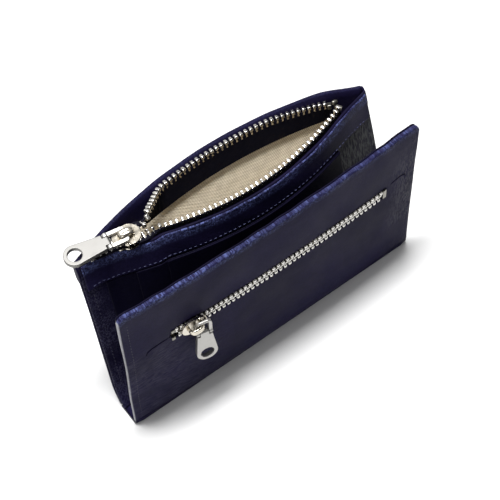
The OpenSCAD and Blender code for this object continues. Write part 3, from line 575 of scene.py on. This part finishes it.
def leafSlit(x, share):
    # distance from the slit, and whether a point lies in it
    dz = np.abs(leafPoint(x, share)[..., 2] - leaf["zipHeight"]) - slitHalf(x)
    dx = np.maximum(leaf["slitLeft"] - x, x - leaf["slitRight"])
    return np.hypot(np.maximum(dx, 0), np.maximum(dz, 0)), (dx <= 1e-4) & (dz <= 1e-4)


def leafThickness(x, share):
    # thicker by the turned hem round the border
    rim = np.minimum(halfLength - np.abs(x), leafTop(x) - leafPoint(x, share)[..., 2])
    return leaf["thickness"] + leaf["hem"] * ease((leaf["hemWidth"] - rim) / leaf["hemStep"])


def leafMiddle(x, share):
    p = leafPoint(x, share)
    p[..., 1] += leafThickness(x, share) / 2
    return p


leafColumns = edgeSteps(-halfLength, halfLength, 1.1, 1.0, (leaf["slitLeft"], leaf["slitRight"]))
skin("frontLeafLeather", leafMiddle, leafColumns, leafRows(), leafThickness, coverLeather, "front_leaf",
     "front_cover", rim=1.1, hole=leafSlit)
print("front leaf done")

# inside the front leaf: the zip pocket's room with its sewn border, and three sheets; a sheet's foot
# and top are how far it stays inside the leaf's
room = {"side": 8.0, "sideRun": 0.06, "foot": 8.8, "top": 8, "run": 8}
panelSize = {"half": 77.4, "foot": 0.3, "top": 0.5}
pocketSize = {"half": 69.6, "foot": 9.3, "top": 8.6, "thickness": 0.35, "forward": 0.28}
sleeveSize = {"half": 75.2, "foot": 2, "top": 12, "loose": 0.8, "sewn": 0.4, "sewnFrom": 0.925, "sewnFoot": 6.2}


def panelDepth(x, z):
    hemU = 1 - room["side"] / halfLength
    foot = leaf["foot"] + room["foot"]
    hollow = (ease((hemU - abs(x / halfLength)) / room["sideRun"]) * ease((z - foot) / room["run"])
              * ease((leaf["height"] - room["top"] - z) / room["run"]))
    return leaf["thickness"] + leaf["hem"] + air + leaf["pocket"] * hollow


def sleeveDepth(x, z):
    # loose in the middle, sewn down at the sides and the foot
    size = sleeveSize
    side = abs(x) / halfLength - size["sewnFrom"]
    sewn = np.maximum(ease(side / 0.012), ease(leaf["foot"] + size["sewnFoot"] - z))
    loose = size["loose"] * (1 - sewn)
    return panelDepth(x, z) + leaf["panel"] + air + loose + leaf["panel"] / 2 + size["sewn"] * sewn


def leafSheet(name, size, inward, thickness, material, stands):
    z0, z1 = leaf["foot"] + size["foot"], leaf["height"] - size["top"]

    def mid(x, z):
        # a sheet that reaches the leaf's top follows its rounded corners
        corner = np.where(z > 0.97, leaf["height"] - leafTop(x), 0) * (z1 > leaf["height"] - leaf["corner"])
        z = z0 + (z1 - z0) * z - corner
        return stackPoints(x, leafY(x, z) + inward(x, z) + leafWave(x, z), z)
    rows = rowShares(z1 - z0, 2.2, 0.8, (0.1, 0.25, 0.45))
    columns = edgeSteps(-size["half"], size["half"], 2.2, 0.8)
    skin(name, mid, columns, rows, thickness, material, "front_leaf", stands)


leafSheet("frontInnerPanel", panelSize, lambda x, z: panelDepth(x, z) + leaf["panel"] / 2, leaf["panel"],
          innerLeather, "front_inner_panel")
leafSheet("zipPocketCloth", pocketSize, lambda x, z: panelDepth(x, z) - pocketSize["forward"],
          pocketSize["thickness"], liningCloth, "front_pocket_lining")
leafSheet("passportSleeve", sleeveSize, sleeveDepth, leaf["panel"], innerLeather, "passport_pocket")
print("inner panels done")

# pouch: spans are shares of the half length
hem = {"width": 8.4, "wall": 88, "step": 0.8, "extra": 1.0}
band = {"span": (-0.985, 0.985), "drop": 0.1, "thickness": 0.9}
lining = {"span": (-0.975, 0.975), "foot": 2.1, "drop": 14.1, "thickness": 0.35}
card = {"foot": 9, "drop": 0.3, "thickness": 0.6, "stack": 0.65, "left": -66.5, "step": 13, "right": 52, "half": 76.5}
# a strip of leather closes each side seam between the two walls, just inside their edges
seamStrip = {"inside": 0.95, "thickness": 0.6, "rim": 0.28, "gap": 1.15, "foot": 0.6, "top": 1.2}


def wallSheet(name, side, inward, span, foot, drop, thickness, material, stands, **shape):
    # a sheet along the rear wall, side 1, or the front wall, side -1, up to a drop below its top edge
    top, wall = (rearTop, rearY) if side > 0 else (frontTop, frontY)
    low = foot if callable(foot) else lambda u: foot

    def mid(u, share):
        z = low(u) + (top(u) - drop - low(u)) * share
        return stackPoints(wallX(u, z), wall(u, z) - side * (inward(u, z) if callable(inward) else inward), z)
    columns = edgeSteps(span[0] * halfLength, span[1] * halfLength, 1.6, 1.0) / halfLength
    rows = rowShares(pouch["height"] - drop - low(0.0))
    skin(name, mid, columns, rows, thickness, material, "rear_leaf", stands, **shape)


def wavy(u, share):
    return 0.12 * np.sin(u * 21 + share * 5) * np.sin(share * 9 + u * 4)


def creasedTop(u, share):
    # the turned top edge ripples a little along its length
    ripple = 0.16 * np.sin(u * 33 + 1.3 * np.sin(u * 9)) * ease((share - 0.8) / 0.18)
    return ripple + 0.1 * np.sin(u * 17 + share * 6)


def hemThickness(u, share):
    return pouch["wall"] + hem["extra"] * ease((share - (1 - hem["width"] / hem["wall"])) * hem["wall"] / hem["step"])


def hemDepth(u, z):
    return pouch["wall"] / 2 + hem["extra"] / 2 * ease((z - rearTop(u) + hem["width"]) / hem["step"])


wallSheet("rearCover", 1, hemDepth, (-1.0, 1.0), pouch["foot"], 0, hemThickness, rearLeather, "rear_cover", rim=1.1,
          bulge=wavy)
wallSheet("pouchFront", -1, pouch["wall"] / 2, (-1.0, 1.0), pouch["foot"], 0, pouch["wall"], bodyLeather,
          "pouch_front_panel", rim=0.65, bulge=wavy)
wallSheet("pouchBand", -1, -air - band["thickness"] / 2, band["span"], lambda u: frontTop(u) - pouch["bandHeight"],
          band["drop"], band["thickness"], pouchLeather, "pouch_top_band", rim=0.45, bulge=creasedTop)
for side, place in ((1, "Rear"), (-1, "Front")):
    wallSheet(f"lining{place}", side, pouch["wall"] + air + lining["thickness"] / 2, lining["span"], lining["foot"],
              lining["drop"], lining["thickness"], liningCloth, f"pouch_lining_{place.lower()}")
for k in range(3):
    span = ((card["left"] + card["step"] * k) / card["half"], card["right"] / card["half"])
    wallSheet(f"cardPanel{k + 1}", -1, -air - k * card["stack"] - card["thickness"] / 2, span, card["foot"],
              pouch["bandHeight"] + card["drop"], card["thickness"], innerLeather, f"card_panel_{k + 1}", rim=0.3)
for sign, label in sides:
    def seamMiddle(across, share):
        low, high = pouch["foot"] + seamStrip["foot"], float(rearTop(np.float64(sign))) - seamStrip["top"]
        z = low + (high - pouch["foot"]) * share
        y = seamY(z) - pouch["seam"] + seamStrip["gap"] + (pouch["seam"] - 2 * seamStrip["gap"]) * across
        return stackPoints(sign * (wallX(1.0, z) - seamStrip["inside"]) + 0 * y, y, z)
    skin(f"seamStrip{label}", seamMiddle, np.linspace(0, 1, 9), rowShares(pouch["height"]), seamStrip["thickness"],
         innerLeather, "rear_leaf", rim=seamStrip["rim"])

print("pouch walls done")

# spine: the cover leather runs from the front leaf round the fold to the rear leaf
spine = {"thickness": 1.3, "rim": 0.5, "radius": 0.85, "centre": 1.5, "frontAt": 3.8, "top": 4.2, "rearAt": 1.6,
         "rearInset": 0.9}


def spineMiddle(u, t):
    # down the front leaf while t is under 1, round the fold to 2, then back along the table to 3
    x, r, centre = u * halfLength, spine["radius"], spine["centre"]
    down, back = np.clip(t, 0, 1), np.clip(t - 2, 0, 1)
    a = np.clip(t - 1, 0, 1) * np.pi / 2
    front = leafY(x, np.full_like(x, spine["frontAt"])) + spine["thickness"] / 2
    rear = rearY(u, np.full_like(u, spine["rearAt"])) - spine["rearInset"]
    y = np.where(t <= 1, front + (centre - r - front) * ease(down),
                 np.where(t <= 2, centre - r * np.cos(a), centre + (rear - centre) * back))
    z = np.where(t <= 1, spine["top"] + (centre - spine["top"]) * down,
                 np.where(t <= 2, centre - r * np.sin(a), centre - r))
    return stackPoints(x, y, z)


spineRows = np.concatenate([edgeSteps(0, 1, 0.12, 0.3), np.linspace(1, 2, 12), 2 + np.linspace(0, 1, 14),
                            [2.97, 2.985]])
spineLeather = skin("spineLeather", spineMiddle, edgeSteps(-1, 1, 2.0 / halfLength, 0.8 / halfLength),
                    np.unique(np.round(spineRows, 4)), spine["thickness"], spineMaterial, None, "spine_base",
                    rim=spine["rim"])
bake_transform(spineLeather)
print("spine done")


# zip teeth
tooth = {
    "length": 3.5,
    # along the tooth, half its width and half its thickness, from foot to head and into the dimple
    "plain": [(0.0, 0.6, 1.12), (0.15, 0.74, 1.28), (1.75, 0.74, 1.3), (1.95, 0.45, 0.86), (2.4, 0.42, 0.8),
              (2.62, 0.58, 1.04), (3.38, 0.57, 1.02), (3.5, 0.42, 0.82), (3.3, 0.22, 0.45)],
    # a row seen from inside the mouth: a rounder head on a thin dull leg
    "bead": [(0.0, 0.4, 0.55), (0.2, 0.46, 0.62), (1.5, 0.46, 0.62), (1.75, 0.6, 0.95), (2.1, 0.8, 1.22),
             (2.85, 0.84, 1.3), (3.32, 0.7, 1.12), (3.5, 0.46, 0.85), (3.2, 0.24, 0.45)],
    # a row seen from behind its tape: slighter all over
    "slight": [(0.0, 0.4, 0.6), (0.2, 0.5, 0.72), (1.95, 0.52, 0.76), (2.25, 0.42, 0.78), (2.6, 0.46, 0.9),
               (2.85, 0.6, 1.05), (3.38, 0.56, 1.0), (3.5, 0.4, 0.8), (3.3, 0.2, 0.42)],
    # the section: a flattened round, as shares of the two halves
    "section": [(1, 0.8), (0.75, 1), (-0.75, 1), (-1, 0.8), (-1, -0.8), (-0.75, -1), (0.75, -1), (1, -0.8)],
}


def toothFrames(node):
    # a foot and three axes for each loose solid: its longest side runs from foot to head, its next
    # through the tape, its shortest along the chain; the slot marks the foot
    mesh = frame["nodes"][node].data
    points = np.empty(len(mesh.vertices) * 3)
    mesh.vertices.foreach_get("co", points)
    merged, index = np.unique(np.round(points.reshape(-1, 3) * 1000, 2), axis=0, return_inverse=True)
    corners = index.ravel()[meshCorners(mesh)].reshape(-1, 3)
    label, last = np.arange(len(merged)), None
    while not np.array_equal(label, last):
        last = label.copy()
        np.minimum.at(label, corners.ravel(), np.repeat(last[corners].min(axis=1), 3))
    frames = []
    for one in np.unique(label):
        p = merged[label == one]
        if len(p) < 12:
            continue
        middle = p.mean(axis=0)
        axes = np.linalg.eigh(np.cov((p - middle).T))[1]
        local = (p - middle) @ axes
        through, length = axes[:, 1], axes[:, 2]
        if local[np.abs(local[:, 1]) < 0.6, 2].mean() > 0:
            length = -length
        centre = middle + axes @ (local.max(axis=0) + local.min(axis=0)) / 2
        frames.append((centre - length * tooth["length"] / 2, np.cross(length, through), length, through))
    return frames


def toothRow(name, frames, body, stands, profile="plain", material=chainNickel):
    # rings of the section set along each tooth and closed at both ends
    profile, ring = np.array(tooth[profile]), np.array(tooth["section"])
    rings, corners = len(profile), len(ring)
    local = stackPoints(profile[:, None, 1] * ring[None, :, 0],
                        np.broadcast_to(profile[:, None, 0], (rings, corners)),
                        profile[:, None, 2] * ring[None, :, 1]).reshape(-1, 3)
    start = np.array([f[0] for f in frames])
    turn = np.array([np.stack(f[1:]) for f in frames])
    points = start[:, None] + np.einsum("kj,tji->tki", local, turn)
    makeTubes(name, points.reshape(-1, 3) - [0, backShift, 0], rings, corners, material, body, stands, len(frames))


rearTeeth, frontTeeth = toothFrames("top_zip_teeth_rear"), toothFrames("top_zip_teeth_front")
toothRow("topTeethRear", rearTeeth, "rear_leaf", "top_zip_teeth_rear", "bead")
toothRow("topTeethFront", frontTeeth, "rear_leaf", "top_zip_teeth_front", "slight")
for side in ("upper", "lower"):
    node = f"front_zip_teeth_{side}"
    toothRow(f"frontTeeth{side.capitalize()}", toothFrames(node), "front_leaf", node)

# round the mouth's right end the tape turns from the rear row to the front, with a dull tooth half way
turn = {"past": 2.5, "pull": 3.0, "teeth": (0.5,), "below": 5.0, "above": 1.2, "thickness": 0.5}


def turnFrame(t):
    # a curve that leaves one row's end and joins the other's, and the teeth's own axes along it
    first, last = max(rearTeeth, key=lambda f: f[0][0]), max(frontTeeth, key=lambda f: f[0][0])
    p0, p1 = first[0] - turn["past"] * first[1], last[0] - turn["past"] * last[1]
    m0, m1 = -turn["pull"] * first[1], turn["pull"] * last[1]
    t = np.asarray(t, float)[..., None]
    place = ((2 * t ** 3 - 3 * t ** 2 + 1) * p0 + (t ** 3 - 2 * t ** 2 + t) * m0
             + (3 * t ** 2 - 2 * t ** 3) * p1 + (t ** 3 - t ** 2) * m1)
    along = unit((6 * t ** 2 - 6 * t) * (p0 - p1) + (3 * t ** 2 - 4 * t + 1) * m0 + (3 * t ** 2 - 2 * t) * m1)
    length = first[2] * (1 - t) + last[2] * t
    length = unit(length - along * (along * length).sum(axis=-1, keepdims=True))
    return place, along, length, np.cross(along, length)


toothRow("topTeethTurn", [turnFrame(t) for t in turn["teeth"]], "rear_leaf", "", "bead", dullNickel)


def turnTape(t, v):
    place, _, length, _ = turnFrame(t)
    height = turn["above"] - (turn["above"] + turn["below"]) * (1 - v)
    return place + length * height[..., None] - [0, backShift, 0]


skin("topTapeTurn", turnTape, np.linspace(-0.12, 1.12, 25), np.linspace(0, 1, 9), turn["thickness"], tapeCloth,
     "rear_leaf")
print("zip teeth done")

# sliders, pulls, stops and corner pieces
rounding = {"plate": 0.4, "link": 0.48, "tab": 0.3, "stop": 0.25, "sharpest": 32}
crown = {"half": 3.05, "rise": 3.3, "foot": 2.3, "width": (1.25, 1.9), "thickness": 0.75, "groove": 0.4,
         "grooveWidth": 0.32, "shoulder": 0.6, "swell": 0.8, "link": 3.85}
cap = {"half": 2.05, "out": 0.22, "thickness": 0.95, "rim": 0.5, "drop": 0.35}


def roundedCopy(name, node, body, width, segments, material):
    # the frame's own solid with its edges rounded
    bm = bmesh.new()
    bm.from_mesh(frame["nodes"][node].data)
    bmesh.ops.remove_doubles(bm, verts=bm.verts, dist=2e-6)
    bmesh.ops.dissolve_limit(bm, angle_limit=math.radians(0.8), verts=bm.verts, edges=bm.edges)
    mesh = bpy.data.meshes.new(name)
    bm.to_mesh(mesh)
    bm.free()
    mesh.shade_smooth()
    piece = addObject(name, mesh)
    soft = piece.modifiers.new("roundedEdges", "BEVEL")
    soft.width = width / 1000
    soft.segments = segments
    soft.limit_method = "ANGLE"
    soft.angle_limit = math.radians(rounding["sharpest"])
    soft.harden_normals = True
    piece.modifiers.new("evenNormals", "WEIGHTED_NORMAL").keep_sharp = True
    dress(piece, material, body, node)


def sliderPlace(place):
    # the slider's centre and its axes: x along the chain to the wide end, z outwards
    joint = joints[{"top": "top_link_flip", "front": "front_link_swing"}[place]]
    at = np.array(joint["pos_m"]) * 1000
    axis = unit(np.array(joint["axis"]))
    if place == "top":
        z = np.array([0.0, 0, 1])
        return at - z * crown["link"], np.stack([np.cross(axis, z), axis, z])
    x = np.array([-1.0, 0, 0])
    x = unit(x - x @ axis * axis)
    return at + x * crown["half"] - axis * crown["link"], np.stack([x, np.cross(axis, x), axis])


def sliderCrown(place, rings=25, corners=24):
    # domed cap over the link: a flattened round carried along an arch, wider in its middle and grooved
    # on top; the shoulder power of the arch's sine and cosine squares it
    t = np.linspace(0, np.pi, rings)[:, None]
    a = np.linspace(0, 2 * np.pi, corners + 1)[:-1][None, :]
    c, n = np.cos(t), np.sin(t)
    x = crown["half"] * np.sign(c) * np.abs(c) ** crown["shoulder"]
    z = crown["foot"] + crown["rise"] * n ** crown["shoulder"]
    dx, dz = np.gradient(x, axis=0), np.gradient(z, axis=0)
    size = np.hypot(dx, dz)
    w0, w1 = crown["width"]
    half = w0 + (w1 - w0) * n ** crown["swell"]
    y = half * np.cos(a) * (1 + 0 * t)
    lift = crown["thickness"] * np.sin(a)
    lift = lift - crown["groove"] * (lift > 0) * np.exp(-(y / crown["grooveWidth"]) ** 2) * n ** 2
    centre, axes = sliderPlace(place)
    points = centre + stackPoints(x + dz / size * lift, y, z + -dx / size * lift).reshape(-1, 3) @ axes
    makeTubes(f"{place}SliderCrown", points - [0, backShift, 0], rings, corners, crownNickel, f"{place}_slider",
              f"{place}_slider_bridge")


for place, tabNickel in (("top", shadedTopPullNickel), ("front", pullNickel)):
    roundedCopy(f"{place}SliderBody", f"{place}_slider_body", f"{place}_slider", rounding["plate"], 3, crownNickel)
    sliderCrown(place)
    roundedCopy(f"{place}PullLink", f"{place}_pull_link", f"{place}_link", rounding["link"], 4, pullNickel)
    roundedCopy(f"{place}PullTab", f"{place}_pull_tab", f"{place}_tab", rounding["tab"], 3, tabNickel)
for place, body, stopNickel in (("top", "rear_leaf", chainNickel), ("front", "front_leaf", dullNickel)):
    roundedCopy(f"{place}BottomStop", f"{place}_zip_bottom_stop", body, rounding["stop"], 2, stopNickel)
    roundedCopy(f"{place}EndStops", f"{place}_zip_end_stops", body, rounding["stop"], 2, dullNickel)
for sign, label in sides:
    # a domed pad over the end of the seam: a square grid drawn in to an oval, each share times the
    # root of 1 minus half the other's square
    node = f"corner_cap_{label.lower()}"
    low, high = np.array(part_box(node))[:, 2] * 1000 - cap["drop"]

    def capMiddle(p, q):
        z = (low + high) / 2 + (high - low) / 2 * q * np.sqrt(1 - p * p / 2)
        y = seamY(z) - pouch["seam"] / 2 + cap["half"] * p * np.sqrt(1 - q * q / 2)
        return stackPoints(sign * (wallX(1.0, z) + cap["out"]), y, z)
    skin(f"cornerCap{label}", capMiddle, np.linspace(-1, 1, 21), np.linspace(-1, 1, 37), cap["thickness"],
         capLeather, "rear_leaf", node, rim=cap["rim"])
for node, holder in frame["nodes"].items():
    if "zip_tape" in node or node.endswith("pull_pin"):
        for s in holder.material_slots:
            s.material = tapeCloth if "tape" in node else pullNickel
print("sliders and pulls done")

# the slit's cut runs on past both ends of the zip: a near-black line, painted shade inside the cut, with a raised lip
# painted lighter as a highlight, each with its place below the line, radius and depth
cut = {"left": [(-55.6, 62.0), (-60.5, 62.1), (-65.5, 61.9), (-67.6, 61.0), (-68.2, 59.2), (-68.0, 57.6)],
       "right": [(62.5, 65.6), (66.0, 66.5), (69.5, 66.8), (71.3, 66.0), (72.0, 63.8), (72.1, 60.5)],
       "line": (0, 0.34, 0.18), "lip": (0.5, 0.26, 0.1), "points": 60, "soften": 9}


def cord(name, line, lower, radius, sink, material):
    # a line along the front leaf's face, half sunk in it, that tapers at both ends
    corners = np.array(line, float)
    t = np.linspace(0, len(corners) - 1, cut["points"])
    soft = np.hanning(cut["soften"]) / np.hanning(cut["soften"]).sum()
    x, z = (np.convolve(np.pad(np.interp(t, np.arange(len(corners)), corners[:, i]), cut["soften"] // 2, mode="edge"),
                        soft, mode="valid") for i in (0, 1))
    z = z - lower
    path = stackPoints(x, leafY(x, z) + leafWave(x, z) + sink, z)
    out = np.tile([0, -1.0, 0], (len(x), 1))
    across = np.cross(unit(np.gradient(path, axis=0)), out)
    r = radius * np.sqrt(np.clip(1.02 - np.abs(np.linspace(-1, 1, len(x))) ** 5, 0, 1))
    a = np.arange(8) * np.pi / 4
    points = (path[:, None] + across[:, None] * (r[:, None] * np.cos(a))[..., None]
              + out[:, None] * (r[:, None] * np.sin(a))[..., None])
    makeTubes(name, points.reshape(-1, 3), len(x), 8, material, "front_leaf")


for _, label in sides:
    cord(f"cutLine{label}", cut[label.lower()], *cut["line"], cutShadeBlack)
    cord(f"cutLip{label}", cut[label.lower()], *cut["lip"], lipHighlightLeather)

# seams: for each row of stitches its ends, its way in from the edge and off the leather, and its facing
stitch = {"pitch": 2.3, "length": 1.5, "radius": 0.14}
bandSeam = {"span": 0.955, "up": 1.5, "over": -1.07, "facing": (-1.0, 0.25)}
leafSeam = {"x": 74.4, "z": (6, 93), "over": -0.06, "facing": (-1.0, 0.03)}
wallSeam = {"z": (6, 74), "inside": 3.4, "over": -0.08, "facing": (-1.0, 0.25)}
rearSeam = {"span": 0.94, "down": 7.4, "z": (6, 79), "inside": 3.4, "over": 0.05, "facing": (1.0, 0.1)}


def stitchRow(name, path, facing, body, material):
    # evenly spaced capsules along the path, whose ends dip into the leather
    steps = runLength(path, 0)
    count = int(steps[-1] // stitch["pitch"])
    at = stitch["pitch"] * (np.arange(count) + 0.5)

    def along(s):
        return np.stack([np.interp(s, steps, path[:, i]) for i in range(3)], -1)
    out = unit(np.tile([0, *facing], (count, 1)))
    run = unit(along(at + 0.3) - along(at - 0.3))
    across = np.cross(run, out)
    s = np.array([-1, -0.8, -0.35, 0.35, 0.8, 1])
    r = stitch["radius"] * np.sqrt(np.clip(1.02 - np.abs(s) ** 3, 0, 1))
    a = np.arange(6) * np.pi / 3
    points = (along(at)[:, None, None] + run[:, None, None] * (s * stitch["length"] / 2)[None, :, None, None]
              + across[:, None, None] * (r[:, None] * np.cos(a))[None, :, :, None]
              + out[:, None, None] * (r[:, None] * np.sin(a) - 0.25 * (s ** 4)[:, None])[None, :, :, None])
    makeTubes(name, points.reshape(-1, 3), len(s), len(a), material, body, copies=count)


def besideSeam(sign, z, inside):
    # the share of the half length at a distance inside the side edge
    return sign * (1 - inside / wallX(1.0, z))


def onWall(wall, u, z, over):
    return stackPoints(wallX(u, z), wall(u, z) + over, z)


u = np.linspace(-bandSeam["span"], bandSeam["span"], 160)
path = onWall(frontY, u, frontTop(u) - pouch["bandHeight"] + bandSeam["up"], bandSeam["over"])
stitchRow("bandStitches", path, bandSeam["facing"], "rear_leaf", blueThread)
for sign, label in sides:
    low, high = leafSeam["z"]
    z = low + (high - low) * np.linspace(0, 1, 120)
    x = np.full(len(z), sign * leafSeam["x"])
    path = stackPoints(x, leafY(x, z) + leafWave(x, z) + leafSeam["over"], z)
    stitchRow(f"leafStitches{label}", path, leafSeam["facing"], "front_leaf", darkThread)
for sign, label in sides:
    z = np.linspace(*wallSeam["z"], 90)
    path = onWall(frontY, besideSeam(sign, z, wallSeam["inside"]), z, wallSeam["over"])
    stitchRow(f"wallStitches{label}", path, wallSeam["facing"], "rear_leaf", darkThread)
u = np.linspace(-rearSeam["span"], rearSeam["span"], 160)
path = onWall(rearY, u, rearTop(u) - rearSeam["down"], rearSeam["over"])
stitchRow("rearStitchesTop", path, rearSeam["facing"], "rear_leaf", darkThread)
for sign, label in sides:
    z = np.linspace(*rearSeam["z"], 90)
    path = onWall(rearY, besideSeam(sign, z, rearSeam["inside"]), z, rearSeam["over"])
    stitchRow(f"rearStitches{label}", path, rearSeam["facing"], "rear_leaf", darkThread)
print("stitches done")

# camera, floor and light: the camera in degrees and mm, the lights in metres and watts
view = {"turn": -37, "pitch": 61, "distance": 781.0, "right": -11.75, "up": 37.4, "lens": 122.4, "sensor": 36}
lights = {"keyLight": ((-0.55, 0.65, 0.85), (0.5, 0.5), 3.0), "topLight": ((-0.04, 0.16, 1.3), (0.6, 0.2), 31.0),
          "fillLight": ((-0.7, -0.5, 0.5), (0.5, 0.5), 2.0)}
surroundings = {"floor": (0.62, 0.62, 0.62), "dim": (0.18, 0.18, 0.19), "bright": (1, 1, 1),
                "brightWay": (-0.15, 0.72, 0.66), "strength": 0.6}

az, pitch = math.radians(view["turn"]), math.radians(view["pitch"])
back = np.array([math.sin(az) * math.cos(pitch), -math.cos(az) * math.cos(pitch), math.sin(pitch)])
right = np.array([math.cos(az), math.sin(az), 0])
up = np.cross(back, right)
data = bpy.data.cameras.new("camera")
data.lens = view["lens"]
data.sensor_width = view["sensor"]
data.clip_end = 20
scene.camera = addObject("camera", data)
place = Matrix(np.column_stack([right, up, back]).tolist()).to_4x4()
place.translation = (back * view["distance"] + right * view["right"] + up * view["up"] + [0, backShift, 0]) / 1000
scene.camera.matrix_world = place
floorMesh = bpy.data.meshes.new("floor")
floorMesh.from_pydata([(-3, -3, 0), (3, -3, 0), (3, 3, 0), (-3, 3, 0)], [], [(0, 1, 2, 3)])
floor = addObject("floor", floorMesh)
floorMat, floorShader, _ = newMaterial("floorPaper")
setInputs(floorShader, {"Base Color": surroundings["floor"] + (1,), "Roughness": 0.9})
floorMesh.materials.append(floorMat)
world = bpy.data.worlds.new("studio")
world.use_nodes = True
sky = world.node_tree.nodes["Background"]
# bright overhead and behind the part, dim in front of it
way = addNode("TexCoord", "Generated", {}, sky)
toward = addNode("VectorMath", "Value", {0: way, 1: surroundings["brightWay"]}, operation="DOT_PRODUCT")
glow = mixColour(rangeNode(toward, 0.0, 0.85), surroundings["dim"], surroundings["bright"])
setInputs(sky, {"Color": glow, "Strength": surroundings["strength"]})
scene.world = world
for name, (place, size, power) in lights.items():
    data = bpy.data.lights.new(name, "AREA")
    data.shape = "RECTANGLE"
    data.size, data.size_y = size
    data.energy = power
    light = addObject(name, data)
    # a long light aims level with its own place, the others at the part's middle
    aim = Vector((place[0] if size[0] > 2 * size[1] else 0, 0.01, 0.05)) - Vector(place)
    light.rotation_euler = aim.to_track_quat("-Z", "Y").to_euler()
    light.location = place
scene.view_settings.view_transform = "Standard"
